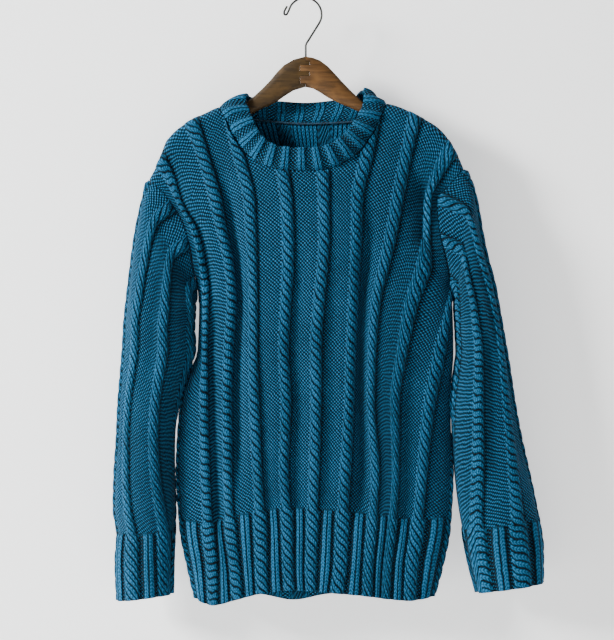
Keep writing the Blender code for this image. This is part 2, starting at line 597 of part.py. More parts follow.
def at_share(ring, share):
    """Rows of a closed ring at shares of the way round; the first three columns are its points."""
    loop = np.concatenate([ring, ring[:1]])
    length = np.concatenate([[0], np.cumsum(np.linalg.norm(np.diff(loop[:, :3], axis=0), axis=1))])
    at = (share % 1.0) * length[-1]
    return np.stack([np.interp(at, length, loop[:, k]) for k in range(ring.shape[1])], axis=-1)


def section_ring(outer_x, outer_drop, inner_x, inner_drop, before, behind, forward):
    """One ring of a sleeve: a rounded section in the plane of its outer and inner points."""
    angle = np.linspace(0, pi, RING_POINTS)
    share = (1 - np.cos(angle)) / 2
    swell = np.abs(np.sin(angle)) ** RING_SQUARE
    x = outer_x + (inner_x - outer_x) * share
    z = -(outer_drop + (inner_drop - outer_drop) * share)
    lean = forward * np.sin(angle)
    return closed_ring(np.stack([x, lean - before * swell, z], axis=-1),
                       np.stack([x, lean + behind * swell, z], axis=-1))


def armhole_ring(edge_index, panels, outwards):
    """The sleeve's first ring: points of the panels' armhole edges, moved out by the seam's gap, with the
    panels' normals there and how much these count."""
    halves = []
    for middle, normal in panels:
        edge = np.concatenate([middle[edge_index], normal[edge_index]], axis=1)
        above = edge[-edge[:, 2] < UNDERARM_DROP - 2]
        halves.append(np.concatenate([above, [[above[-1, 0], 0, -UNDERARM_DROP - 2, outwards, 0, 0]]]))
    ring = closed_ring(*halves)
    turn_drop, turn_run = UNDERARM_TURN
    low = smooth((-ring[:, 2] - turn_drop) / turn_run)
    ring[:, 0] += outwards * (SEAM_GAP + SEAM_STEP + low * (WALL + UNDERARM_STEP))
    ring[:, 2] -= SEAM_LOWER * (1 - low)
    return np.concatenate([ring, 1 - low[:, None]], axis=1)


def sleeve_grids(rings_table, ring_zero, folds, outwards, rows):
    """Outer and inner grids of a sleeve: columns by rows by XYZ."""
    columns = cable_columns(-SLEEVE_HALF_TOP, SLEEVE_HALF_TOP, 0.0)[:-1]
    halves = [SLEEVE_HALF_TOP] + column(rings_table, 7)
    turns = [0.0] + column(rings_table, 8)
    rings = [ring_zero] + [section_ring(*row[:7]) for row in rings_table]
    stations = np.arange(len(rings), dtype=float)
    centres = np.array([ring[:, :3].mean(axis=0) for ring in rings])
    spread = np.cumsum(np.linalg.norm(np.diff(centres, axis=0), axis=1) + RING_SPREAD)
    spread = np.concatenate([[0], spread])
    at = np.interp(np.linspace(0, spread[-1], rows + 1), spread, stations)

    def knit_wale(grid_wale, half):
        outer = SLEEVE_STRAIGHT + (np.abs(grid_wale) - SLEEVE_STRAIGHT) * (half - SLEEVE_STRAIGHT) / (
            SLEEVE_HALF_TOP - SLEEVE_STRAIGHT)
        return np.where(np.abs(grid_wale) > SLEEVE_STRAIGHT, np.sign(grid_wale) * outer, grid_wale)

    def surface(grid_wale, place):
        lines = []
        for ring, half, turn in zip(rings, halves, turns):
            knit = knit_wale(grid_wale, half)
            share = -outwards * (knit / (2 * half) - turn / (2 * half) * (1 - (np.abs(knit) / half) ** 2))
            lines.append(at_share(ring, share))
        seam = lines[0]
        lines = np.array([line[:, :3] for line in lines])
        points = np.empty((len(grid_wale), len(place), 3))
        for i in range(len(grid_wale)):
            for k in range(3):
                points[i, :, k] = through(stations, lines[:, i, k], place)
        half_here = np.interp(place, stations, halves)
        centre = np.stack([through(stations, centres[:, k], place) for k in range(3)], axis=-1)
        knit = np.array([knit_wale(grid_wale, half) for half in half_here]).T
        dent = fold_depth(knit, place[None, :] + 0 * knit, folds)
        inward = centre[None] - points
        inward[..., 2] = 0
        inward /= np.maximum(np.linalg.norm(inward, axis=-1, keepdims=True), 1e-6)
        return points + inward * dent[..., None], knit, half_here, seam

    small = 0.05
    middle, knit, half_here, seam = surface(columns, at)
    wrap_high = np.where(columns + small > SLEEVE_HALF_TOP, -SLEEVE_HALF_TOP, columns + small)
    low_wale = columns - small
    low_wale[0] = SLEEVE_HALF_TOP - small
    over = surface(wrap_high, at)[0] - surface(low_wale, at)[0]
    last = stations[-1]
    down = surface(columns, np.minimum(at + small, last))[0] - surface(columns, np.maximum(at - small, 0))[0]
    normal = np.cross(over, down)
    normal /= np.linalg.norm(normal, axis=-1, keepdims=True)
    centre = middle.mean(axis=0)[None]
    if (np.einsum("ijk,ijk->ij", normal, middle - centre)).mean() < 0:
        normal = -normal
    own = smooth(1 - seam[:, 6:7])
    shared = normal[:, 0] * own + seam[:, 3:6] * (1 - own)
    normal[:, 0] = shared / np.linalg.norm(shared, axis=-1, keepdims=True)
    to_seam = half_here[None, :] - np.abs(knit)
    length = np.concatenate([[0], np.cumsum(np.linalg.norm(np.diff(middle.mean(axis=0), axis=0), axis=1))])
    in_rib = smooth((length - (length[-1] - CUFF_RIB)) / RIB_START + 0.5)[None, :]
    height = np.maximum(cable_height(knit, 0.0), rib_height(knit, 0.0) * in_rib)
    height = height * np.clip(to_seam / SELVAGE, 0, 1)
    height[:, 0] = 0
    outer = middle + normal * (WALL / 2 + height[..., None])
    inner = middle - normal * (WALL / 2)
    inner[:, 0, 0] += outwards * SEAM_BEVEL
    return outer, inner


def neck_loop(front_wale, front_mid, front_normal, back_wale, back_mid, back_normal):
    """The neck edge of the panels as one loop from the middle of the front, by the left side: points,
    normals, and directions up out of the cloth."""
    parts = []
    for wale, grid, normal in ((front_wale, front_mid, front_normal), (back_wale, back_mid, back_normal)):
        inside = (wale >= NECK_LEFT) & (wale <= NECK_RIGHT)
        parts.append((grid[inside, 0], normal[inside, 0]))
    (front_points, front_normals), (back_points, back_normals) = parts
    points = np.concatenate([front_points[::-1], back_points[1:-1]])
    normals = np.concatenate([front_normals[::-1], back_normals[1:-1]])
    ups = np.cross(normals, np.roll(points, -1, axis=0) - np.roll(points, 1, axis=0))
    ups /= np.linalg.norm(ups, axis=-1, keepdims=True)
    over_neck = np.array(NECK_MIDDLE) - points
    ups *= np.sign((ups * over_neck).sum(axis=-1, keepdims=True))
    start = int(np.argmin(np.abs(front_points[::-1][:, 0] - NECK_MIDDLE[0])))
    return tuple(np.roll(part, -start, axis=0) for part in (points, normals, ups))


def ring_table(share, index):
    """A column of the band's table round the closed ring."""
    shares = column(BAND_STATIONS, 0)
    values = column(BAND_STATIONS, index)
    around = [s - 1 for s in shares] + shares + [s + 1 for s in shares]
    return through(around, values * 3, share)


def band_grids(loop):
    """Outer and inner grids of the neckband: columns by rows by XYZ."""
    points, normals, ups = loop
    closed = np.concatenate([points, points[:1]])
    length = np.concatenate([[0], np.cumsum(np.linalg.norm(np.diff(closed, axis=0), axis=1))])
    count = BAND_RIBS * 4
    share = np.arange(count) / count

    def round_loop(values):
        shut = np.concatenate([values, values[:1]])
        return np.stack([np.interp(share * length[-1], length, shut[:, k]) for k in range(3)], axis=-1)

    foot_up = round_loop(ups)
    foot_normal = round_loop(normals)
    foot_normal /= np.linalg.norm(foot_normal, axis=-1, keepdims=True)
    foot = round_loop(points) + foot_up * (SEAM_GAP + BAND_STEP)
    crest = np.stack([ring_table(share, 1), ring_table(share, 2), -ring_table(share, 3)], axis=-1)
    edge = np.stack([ring_table(share, 4), ring_table(share, 5), -ring_table(share, 6)], axis=-1)
    steps = np.linspace(0, 1, BAND_ROWS + 1)
    middle = np.stack([foot * (1 - t) ** 2 + crest * 2 * t * (1 - t) + edge * t * t for t in steps], axis=1)
    over = np.roll(middle, -1, axis=0) - np.roll(middle, 1, axis=0)
    across = np.gradient(middle, axis=1)
    normal = np.cross(over, across)
    normal /= np.linalg.norm(normal, axis=-1, keepdims=True)
    if (normal[:, 1] * foot_normal).sum() < 0:
        normal = -normal
    normal[:, 0] = foot_normal
    rib = np.array([0.0, BAND_RIB_HEIGHT, BAND_RIB_HEIGHT, 0.0])[np.arange(count) % 4]
    height = rib[:, None] * np.array([BAND_FOOT_RIB] + [1.0] * BAND_ROWS)[None, :]
    outer = middle + normal * (WALL / 2 + height[..., None])
    inner = middle - normal * (WALL / 2)
    return outer, inner


def cloth_object(name, outer, inner, closed, finish):
    """A wall object from grids that are columns by rows."""
    return wall_object(name, outer.transpose(1, 0, 2), inner.transpose(1, 0, 2), closed, finish)


def wooden_bar():
    """The whole wooden hanger before it is cut in two: rounded slices, skinned from tip to tip."""
    mesh = bpy.data.meshes.new("bar")
    bar = bmesh.new()
    rings = []
    for across, top, bottom in ARM_SLICES:
        middle, half = (top + bottom) / 2, (bottom - top) / 2
        thin = BOARD / 2 * min(1.0, TIP_THICKNESS + half / TIP_HEIGHT)
        corners = []
        for k in range(BOARD_ROUND):
            angle = tau * (k + 0.5) / BOARD_ROUND
            y = thin * np.sign(cos(angle)) * abs(cos(angle)) ** BOARD_SQUARE[0]
            z = -middle + half * np.sign(sin(angle)) * abs(sin(angle)) ** BOARD_SQUARE[1]
            corners.append(bar.verts.new(placed((across, y, z))))
        rings.append(corners)
    for near, far in zip(rings, rings[1:]):
        for k in range(BOARD_ROUND):
            bar.faces.new((near[k], near[(k + 1) % BOARD_ROUND], far[(k + 1) % BOARD_ROUND], far[k]))
    bar.faces.new(rings[0])
    bar.faces.new(rings[-1][::-1])
    bmesh.ops.recalc_face_normals(bar, faces=bar.faces)
    bar.to_mesh(mesh)
    bar.free()
    return mesh


def comb_cutter(name, side):
    """The block that keeps one half of the bar: its inner edge follows the fingers of the joint."""
    far = CUT_ACROSS * side
    drops = [CUT_TOP] + [end for end, _ in FINGER_ENDS]
    reaches = [reach for _, reach in FINGER_ENDS]
    outline = [(far, drops[0])]
    for k, reach in enumerate(reaches):
        above, below = drops[k], drops[k + 1]
        if k > 0:
            above += HALF_GAP / 2 * (1 if (reach > reaches[k - 1]) == (side < 0) else -1)
        if k < len(reaches) - 1:
            below += HALF_GAP / 2 * (1 if (reaches[k + 1] > reach) == (side < 0) else -1)
        across = reach + side * HALF_GAP / 2
        outline.append((across, above))
        outline.append((across, below))
    outline.append((far, drops[-1]))
    mesh = bpy.data.meshes.new(name)
    block = bmesh.new()
    front = [block.verts.new(placed((x, -CUT_HALF, -z))) for x, z in outline]
    face = block.faces.new(front)
    pushed = bmesh.ops.extrude_face_region(block, geom=[face])
    moved = [v for v in pushed["geom"] if isinstance(v, bmesh.types.BMVert)]
    bmesh.ops.translate(block, verts=moved, vec=Vector((0, 2 * CUT_HALF * MM, 0)))
    bmesh.ops.recalc_face_normals(block, faces=block.faces)
    block.to_mesh(mesh)
    block.free()
    return guide_object(name, mesh)


def guide_object(name, mesh):
    """A cutter: it shapes other objects and isn't a piece itself."""
    guide = bpy.data.objects.new(name, mesh)
    bpy.context.collection.objects.link(guide)
    guide.hide_render = True
    guide.display_type = "WIRE"
    return guide


def add_boolean(target, name, operation, cutter):
    """A live Boolean modifier."""
    cut = target.modifiers.new(name, "BOOLEAN")
    cut.operation = operation
    cut.object = cutter
    cut.solver = "EXACT"


def hanger_half(name, side, hole, finish):
    """One wooden half of the hanger, with its fingers and its part of the hook's hole."""
    mesh = wooden_bar()
    mesh.name = name
    mesh.materials.append(finish)
    half = bpy.data.objects.new(name, mesh)
    bpy.context.collection.objects.link(half)
    add_boolean(half, "fingers", "INTERSECT", comb_cutter(name + "_comb", side))
    add_boolean(half, "hook hole", "DIFFERENCE", hole)
    return half


def hook_hole():
    """The drilled hole for the hook's stem."""
    mesh = bpy.data.meshes.new("hook_hole")
    drill = bmesh.new()
    radius = (WIRE / 2 + HOLE_CLEARANCE) * MM
    bmesh.ops.create_cone(drill, cap_ends=True, segments=12, radius1=radius, radius2=radius,
                          depth=(HOLE_DEPTH_DROP - CUT_TOP) * MM)
    middle = placed((STEM_ACROSS, 0, -(HOLE_DEPTH_DROP + CUT_TOP) / 2))
    bmesh.ops.translate(drill, verts=drill.verts, vec=Vector(middle))
    drill.to_mesh(mesh)
    drill.free()
    return guide_object("hook_hole", mesh)


def hook_path():
    """Middle line of the hook's wire: stem, bend, arch over the top, and the folded end."""
    arch = [(BEND_ACROSS + BEND_RADIUS * cos(angle), BEND_DROP - BEND_RADIUS * sin(angle))
            for angle in np.radians(np.linspace(*ARCH_DEGREES, ARCH_STEPS))]
    return [*HOOK_STEM, *arch, *HOOK_HAIRPIN]


def hanger_hook(finish):
    """The wire hook, a bevelled curve with its ends closed."""
    curve = bpy.data.curves.new("hanger_hook", "CURVE")
    curve.dimensions = "3D"
    curve.bevel_depth = WIRE / 2 * MM
    curve.bevel_resolution = 2
    curve.use_fill_caps = True
    points = hook_path()
    line = curve.splines.new("POLY")
    line.points.add(len(points) - 1)
    for point, (across, drop) in zip(line.points, points):
        point.co = (*placed((across, 0.0, -drop)), 1.0)
    line.use_smooth = True
    curve.materials.append(finish)
    hook = bpy.data.objects.new("hanger_hook", curve)
    bpy.context.collection.objects.link(hook)
    return hook


def material(name, colour, roughness, metallic=0.0):
    """A plain Principled material."""
    made = bpy.data.materials.new(name)
    made.use_nodes = True
    shader = made.node_tree.nodes["Principled BSDF"]
    shader.inputs["Base Color"].default_value = (*colour, 1.0)
    shader.inputs["Roughness"].default_value = roughness
    shader.inputs["Metallic"].default_value = metallic
    return made


def main():
    """Clear the scene and build the sweater and its hanger."""
    for old in list(bpy.data.objects):
        bpy.data.objects.remove(old, do_unlink=True)
    wool = material("teal wool", (0.011, 0.095, 0.205), 0.9)
    dark_wood = material("dark wood", (0.105, 0.052, 0.024), 0.55)
    warm_wood = material("warm wood", (0.17, 0.065, 0.026), 0.5)
    black_wire = material("black wire", (0.012, 0.012, 0.013), 0.35, 0.6)

    front_wale, front_mid, front_out, front_in, front_normal = panel_grids(-1, BODY_ROWS)
    back_wale, back_mid, back_out, back_in, back_normal = panel_grids(1, BACK_ROWS)
    cloth_object("front", front_out, front_in, False, wool)
    cloth_object("back", back_out, back_in, False, wool)
    sides = (
        ("sleeve_left", 0, -1, LEFT_RINGS, LEFT_SLEEVE_FOLDS),
        ("sleeve_right", -1, 1, RIGHT_RINGS, RIGHT_SLEEVE_FOLDS),
    )
    for name, edge, outwards, rings, folds in sides:
        ring_zero = armhole_ring(edge, ((front_mid, front_normal), (back_mid, back_normal)), outwards)
        back_folds = [(outwards * row[0], outwards * row[1], *row[2:]) for row in SLEEVE_BACK_FOLDS]
        outer, inner = sleeve_grids(rings, ring_zero, [*folds, *back_folds], outwards, SLEEVE_ROWS)
        cloth_object(name, outer, inner, True, wool)
    loop = neck_loop(front_wale, front_mid, front_normal, back_wale, back_mid, back_normal)
    band_out, band_in = band_grids(loop)
    cloth_object("neckband", band_out, band_in, True, wool)

    hole = hook_hole()
    hanger_half("hanger_half_left", -1, hole, dark_wood)
    hanger_half("hanger_half_right", 1, hole, warm_wood)
    hanger_hook(black_wire)


main()
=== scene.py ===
# %% [markdown]
# A cable-knit pullover hangs on a wooden clothes hanger in front of a pale wall. The frame is the plain
# model that the looks are fitted to: it gives every piece its place. Here the cloth is knitted again in a
# much finer mesh, and the wood and the wire get their finish.

# %% Load the frame and keep its size
from math import cos, pi, radians, sin, tau

import bmesh
import bpy
import numpy as np
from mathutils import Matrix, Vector


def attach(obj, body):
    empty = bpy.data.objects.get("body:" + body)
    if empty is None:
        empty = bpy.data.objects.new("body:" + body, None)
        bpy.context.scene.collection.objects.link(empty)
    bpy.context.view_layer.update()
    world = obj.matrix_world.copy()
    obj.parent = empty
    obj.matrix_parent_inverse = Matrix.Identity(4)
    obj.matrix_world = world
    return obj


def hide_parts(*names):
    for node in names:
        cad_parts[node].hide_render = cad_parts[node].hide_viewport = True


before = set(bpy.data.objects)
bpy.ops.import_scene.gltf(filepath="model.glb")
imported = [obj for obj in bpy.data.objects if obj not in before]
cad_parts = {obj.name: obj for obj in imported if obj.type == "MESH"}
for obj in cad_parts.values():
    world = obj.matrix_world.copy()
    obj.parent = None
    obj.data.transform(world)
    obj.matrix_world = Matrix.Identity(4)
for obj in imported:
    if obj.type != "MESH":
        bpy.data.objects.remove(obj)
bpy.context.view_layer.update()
MM = 0.001
ORIGIN = np.array([1.8, 0.0, -1.2])      # the hook's resting point, as measured in the tables below

# %% [markdown]
# The tables are in millimetres. "Across" runs to the right and "drop" runs down, both from one point
# beside the hook's bend. A few helpers turn short tables into smooth lines: a Hermite curve that never
# overshoots its points suits cloth, which has no ripples between the places where it is held.


# %% Helpers for smooth lines
def placed(points):
    """Points of the tables in metres from the origin."""
    return (np.asarray(points, float) - ORIGIN) * MM


def through(stations, values, at, flat_ends=False):
    """Smooth curve through the values, which never overshoots them; the ends are held beyond them."""
    x = np.asarray(stations, float)
    y = np.asarray(values, float)
    at = np.clip(np.asarray(at, float), x[0], x[-1])
    step = np.diff(x)
    rise = np.diff(y) / step
    slope = np.zeros_like(y)
    same_way = rise[:-1] * rise[1:] > 0
    total = np.where(same_way, rise[:-1] + rise[1:], 1.0)
    slope[1:-1] = np.where(same_way, 2 * rise[:-1] * rise[1:] / total, 0.0)
    if not flat_ends:
        slope[0] = rise[0]
        slope[-1] = rise[-1]
    i = np.clip(np.searchsorted(x, at, side="right") - 1, 0, len(x) - 2)
    t = (at - x[i]) / step[i]
    return (y[i] * (1 + 2 * t) * (1 - t) ** 2 + slope[i] * step[i] * t * (1 - t) ** 2
            + y[i + 1] * t * t * (3 - 2 * t) + slope[i + 1] * step[i] * t * t * (t - 1))


def smooth(t):
    """Ease from 0 to 1."""
    t = np.clip(t, 0.0, 1.0)
    return t * t * (3 - 2 * t)


def column(table, index):
    """One column of a table."""
    return [row[index] for row in table]


def look_up(table, at, index=1, flat_ends=False):
    """A column of a table at places in its first column, as a smooth curve."""
    return through(column(table, 0), column(table, index), at, flat_ends)


def unit(vectors):
    """Vectors of length 1."""
    return vectors / np.maximum(np.linalg.norm(vectors, axis=-1, keepdims=True), 1e-9)


def travelled(points):
    """How far each point of a line lies from its first one, along the line; also for a grid of lines."""
    step = np.linalg.norm(np.diff(points, axis=-2), axis=-1)
    return np.concatenate([np.zeros((*step.shape[:-1], 1)), np.cumsum(step, axis=-1)], axis=-1)


def linked(name, data):
    """A new object of the scene."""
    piece = bpy.data.objects.new(name, data)
    bpy.context.collection.objects.link(piece)
    return piece


def select_only(piece):
    """Makes a piece the only selected one, and the active one."""
    bpy.ops.object.select_all(action="DESELECT")
    bpy.context.view_layer.objects.active = piece
    piece.select_set(True)


# %% [markdown]
# Knitting is measured in stitches and rows. A wale is a column of stitches and has a number in stitch
# widths, ten to a repeat: four stitches make a cable and six purl stitches lie between it and the next.
# These are the pullover's gauge and the lines of its body: where the wales lie across at each height,
# where the cloth lies over the hanger, the two neck edges, how far the cloth stands out, and its folds.

# %% Gauge and wall
WALL = 3.0                 # thickness of the knitted ground
REPEAT = 10.0              # stitches in one cable and its purl ground
ROW = 4.53                 # height of a row of stitches
CABLE_ROWS = 4.0           # rows from one crossing of a cable to the next
CABLE_MIDDLE = -0.15       # a cable leans a little to the left of its four stitches
CABLE_HALF = 1.72          # half the width of a cable, in stitches
HEM_CABLE = 0.65           # how much wider than that it is among the ribs of hem and cuffs
CABLE_SLANT = 3.0          # rows that a strand comes down on its way from the middle to an edge
CABLE_HEIGHT = 4.4         # how far a strand stands out of the ground
SHADE_WIDTH = 0.75        # half the width of the painted shadow to a cable's right and of the painted shade beside each rib, in stitches
RIB_HALF = 1.65            # half the width of a knit rib, in stitches
RIB_HEIGHT = 2.9           # how far the knit ribs of hem and cuffs stand out
SEAM_GAP = 0.3             # between pieces that are sewn together
SELVAGE = 1.2              # stitches over which a cable dies away beside a seam

# %% Lines of the body
LEFT_EDGE, RIGHT_EDGE = -45.0, 55.0      # wales of the front's side seams
ENDS = {-1: (LEFT_EDGE, RIGHT_EDGE), 1: (-50.0, 50.0)}
STRAIGHT_WALE = 35.0       # beyond this wale the cloth's own wales and the grid's lie apart
ROLL = 9.0                 # radius of the roll over the hanger's arm
SWELL = 110.0              # way below the roll in which the cloth takes its full depth
HEM_RIB = 104.0            # height of the hem's ribbing
STATIONS = (-45, -35, -25, -15, -5, 5, 15, 25, 35, 45, 55)
FRONT_SECTIONS = (
    # drop, turned to the side seam, left seam, cables from left to right, right seam
    (259, 0, (-170, -158, -111, -68, -21, 26, 68, 119, 158, 164, 169)),
    (297, 0, (-149, -139, -104, -66, -19, 27, 67, 112, 155, 164, 172)),
    (338, 0, (-140, -129, -95, -64, -19, 25, 65, 103, 149, 168, 181)),
    (386, 1, (-132, -123, -91, -63, -22, 20, 63, 92, 136, 178, 188)),
    (450, 1, (-134, -125, -95, -63, -25, 16, 60, 87, 124, 162, 190)),
    (513, 1, (-154, -126, -97, -62, -22, 16, 58, 86, 115, 154, 186)),
    (602, 1, (-160, -124, -96, -58, -25, 14, 53, 92, 116, 150, 188)),
    (678, 1, (-155, -120, -92, -54, -20, 11, 49, 87, 111, 143, 184)),
    (723, 1, (-146, -115, -87, -53, -19, 9, 47, 83, 106, 136, 175)),
)
HALFWAY = (-181, -168, -125, -83, -29, 25, 82, 130, 168, 179, 186)
HEM = (-136, -114, -83, -52, -17, 9, 42, 82, 103, 134, 164)
HEM_DROP = (764, 773, 765, 757, 753, 754, 757, 761, 764, 767, 762)
BACK_HEM_DROP = 763.0
BACK_HEM_SAG = 9.0         # left of the middle the back's hem hangs lower and shows under the front's
SHOULDER_LINE = (
    # wale, across, drop
    (-45.0, -196, 233), (-35.0, -182, 206), (-31.5, -173, 183), (-29.0, -163, 171), (-25.0, -142, 157),
    (-21.0, -123, 147.5), (-17.5, -108, 141), (-5.0, -30, 131), (5.0, 27, 131), (17.5, 106, 136.5),
    (21.0, 124, 141.5), (25.0, 142, 150.5), (30.0, 167, 164), (32.5, 180.5, 177), (35.0, 188.5, 190.5),
    (45.0, 197.5, 206), (55.0, 203, 219),
)
NECK_LEFT, NECK_RIGHT = -17.5, 17.5
UNDERARM_DROP = 386.0
NECK_FRONT = (
    # wale, drop
    (-17.5, 141), (-16.75, 152), (-15.9, 173), (-14.1, 193), (-13.25, 199), (-10.0, 214), (-5.0, 222),
    (0.0, 223), (5.0, 222), (10.0, 211), (13.25, 197), (14.1, 189), (15.9, 169), (16.75, 151), (17.5, 136.5),
)
NECK_BACK = (
    (-17.5, 141), (-15.9, 146), (-13.25, 152), (-10.0, 156), (0.0, 160), (10.0, 158), (13.25, 154),
    (15.9, 146), (17.5, 136.5),
)
DEPTHS = (
    # drop, front middle, front edge, back middle, back edge
    (135, 15, 9, 13, 9), (200, 22, 12, 17, 12), (259, 27, 14, 21, 14), (297, 30, 15, 23, 15),
    (338, 31, 11, 24, 11), (386, 31, 0, 25, 0), (450, 30, 0, 25, 0), (602, 29, 0, 24, 0),
    (678, 27, 0, 23, 0), (770, 29, 0, 25, 0),
)
FRONT_FOLDS = (
    # wale at the top, wale at the bottom, drop of the top and bottom, depth, half its width in stitches
    (-31.0, -30.0, 320, 740, 7.0, 2.8),
    (-21.0, -21.5, 165, 660, 10.5, 2.8),
    (-2.5, 0.0, 250, 720, 5.5, 3.6),
    (9.0, 10.0, 300, 700, 3.5, 2.8),
    (18.0, 20.5, 225, 710, 10.5, 3.2),
    (29.0, 36.0, 215, 330, 9.0, 3.4),
    (40.5, 40.0, 420, 720, 3.0, 3.2),
    (-32.5, -33.5, 262, 400, 6.0, 2.6),
    (-12.5, -10.5, 420, 740, 2.5, 2.6),
)
BACK_FOLDS = (
    (-34.0, -30.0, 250, 700, 6.0, 3.6), (-14.0, -11.0, 330, 740, 5.0, 3.4), (4.0, 2.0, 230, 640, 4.0, 3.8),
    (19.0, 21.0, 280, 720, 6.0, 3.4), (38.0, 33.0, 240, 640, 6.5, 3.2),
)
BACK_MIDDLE, BACK_HALF = 12.0, 164.0
BACK_CROSS = ((-50, -1.0), (-44, -0.93), (-30, -0.65), (0, 0.0), (30, 0.65), (44, 0.93), (50, 1.0))

# %% [markdown]
# The front and back are each one sheet of cloth. A guide line runs down each wale from the shoulder to the
# hem; the cloth bulges between the side seams, rolls over the hanger's arms and is pressed in by the
# folds. The grid that samples this surface has its columns close together on the cables, where the relief
# is, and further apart on the purl ground.


# %% The body's surface
def fold_depth(wale, drop, folds):
    """How far the folds press the cloth in, at a wale and a drop."""
    total = np.zeros(np.broadcast(wale, drop).shape)
    for top_wale, bottom_wale, top, bottom, depth, width in folds:
        way = (drop - top) / (bottom - top)
        middle = top_wale + (bottom_wale - top_wale) * np.clip(way, 0, 1)
        fade = smooth(way / 0.3) * smooth((1 - way) / 0.25)
        total = total + depth * fade * np.exp(-((wale - middle) / width) ** 2)
    return total


def shoulder_point(wale):
    """Across and drop of the shoulder line at a wale."""
    return look_up(SHOULDER_LINE, wale, 1), look_up(SHOULDER_LINE, wale, 2)


def front_guides(wale):
    """Guide points of the front's wales, from the shoulder line to the hem."""
    top_across, top_drop = shoulder_point(wale)
    across = [top_across, through(STATIONS, HALFWAY, wale)]
    drop = [top_drop, (top_drop + FRONT_SECTIONS[0][0]) / 2]
    for section_drop, turned, places in FRONT_SECTIONS:
        across.append(through(STATIONS, places, wale, flat_ends=bool(turned)))
        drop.append(np.full(len(wale), float(section_drop)))
    across.append(through(STATIONS, HEM, wale, flat_ends=True))
    drop.append(through(STATIONS, HEM_DROP, wale))
    return np.array(across).T, np.array(drop).T


def edge_across(drop, side):
    """Where the front's left (0) or right (-1) edge lies across at a drop."""
    tip_across, tip_drop = shoulder_point(np.array([STATIONS[side]], float))
    drops = [tip_drop[0]] + column(FRONT_SECTIONS, 0) + [HEM_DROP[side]]
    places = [tip_across[0]] + [row[2][side] for row in FRONT_SECTIONS] + [HEM[side]]
    return through(drops, places, drop)


def back_shift(wale):
    """Difference between a back wale and the shoulder line's wale above it."""
    return np.where(wale < 0, LEFT_EDGE + 50.0, RIGHT_EDGE - 50.0) * smooth((np.abs(wale) - 17.5) / 32.5)


def back_guides(wale):
    """Guide points of the back's wales: the front's edges, with the wales evenly spread between them."""
    top_across, top_drop = shoulder_point(wale + back_shift(wale))
    share = look_up(BACK_CROSS, wale)
    turned_share = look_up(BACK_CROSS, wale, flat_ends=True)
    beside = smooth((np.abs(wale) - 22) / 28)
    across = [top_across]
    drop = [top_drop]
    rows = [(row[0], row[1], row[2][0], row[2][-1]) for row in FRONT_SECTIONS]
    rows.append((BACK_HEM_DROP, 1, HEM[0], HEM[-1]))
    for section_drop, turned, left, right in rows:
        spread = turned_share if turned else share
        to_edges = (left + right) / 2 + (right - left) / 2 * spread
        straight = BACK_MIDDLE + BACK_HALF * share
        across.append(straight + (to_edges - straight) * beside)
        drop.append(np.full(len(wale), float(section_drop)))
    across.insert(1, (top_across + across[1]) / 2)
    drop.insert(1, (top_drop + rows[0][0]) / 2)
    drop[-1] = drop[-1] + BACK_HEM_SAG * np.exp(-((wale + 7.0) / 9.0) ** 2)
    return np.array(across).T, np.array(drop).T


def guides_of(side, wale):
    """Guide points of the front (side -1) or the back (side 1)."""
    return front_guides(wale) if side < 0 else back_guides(wale)


def along(guides, way):
    """Places on each wale at a way down it."""
    across, drop = guides
    length = travelled(np.stack(guides, axis=-1))
    places = [(through(length[i], across[i], way[i]), through(length[i], drop[i], way[i]))
              for i in range(len(across))]
    return np.array([p[0] for p in places]), np.array([p[1] for p in places])


def wale_length(guides):
    """Length of each wale, from the shoulder line to the hem."""
    return travelled(np.stack(guides, axis=-1))[:, -1]


def panel_surface(side, wale, way):
    """Middle surface of a panel in millimetres: wales by rows by XYZ."""
    x, drop = along(guides_of(side, wale), way)
    left = edge_across(drop, 0)
    right = edge_across(drop, -1)
    share = np.clip(np.abs((x - (left + right) / 2) / ((right - left) / 2)), 0, 1)
    full = look_up(DEPTHS, drop, 1 if side < 0 else 3)
    edge = look_up(DEPTHS, drop, 2 if side < 0 else 4)
    turned = smooth((drop - 330) / 50)
    power = 2.0 + 0.6 * turned
    root = 1.0 - turned * (1 - 1 / power)
    bulge = edge + (full - edge) * (1 - share ** power) ** root
    roll = np.sqrt(ROLL ** 2 - (ROLL - np.clip(way, 0, ROLL)) ** 2)
    opened = smooth((way - ROLL) / SWELL)
    depth = roll + (bulge - ROLL) * opened
    fade = smooth((way - ROLL) / 40) * np.clip(depth / 12, 0, 1)
    first, last = ENDS[side]
    fade = fade * (smooth((wale - first) / 6) * smooth((last - wale) / 6))[:, None]
    depth = depth - fade * fold_depth(wale[:, None], drop, FRONT_FOLDS if side < 0 else BACK_FOLDS)
    y = side * (np.maximum(depth, 0) + SEAM_GAP / 2)
    return np.stack([x, y, -drop], axis=-1)


def panel_normals(side, wale, way):
    """Unit normals of a panel's middle surface, pointing out of the pullover."""
    small = 0.02
    low = np.clip(wale - small, *ENDS[side])
    high = np.clip(wale + small, *ENDS[side])
    over = panel_surface(side, high, way) - panel_surface(side, low, way)
    down = panel_surface(side, wale, way + small) - panel_surface(side, wale, np.maximum(way - small, 0))
    return unit(np.cross(over, down) * side)


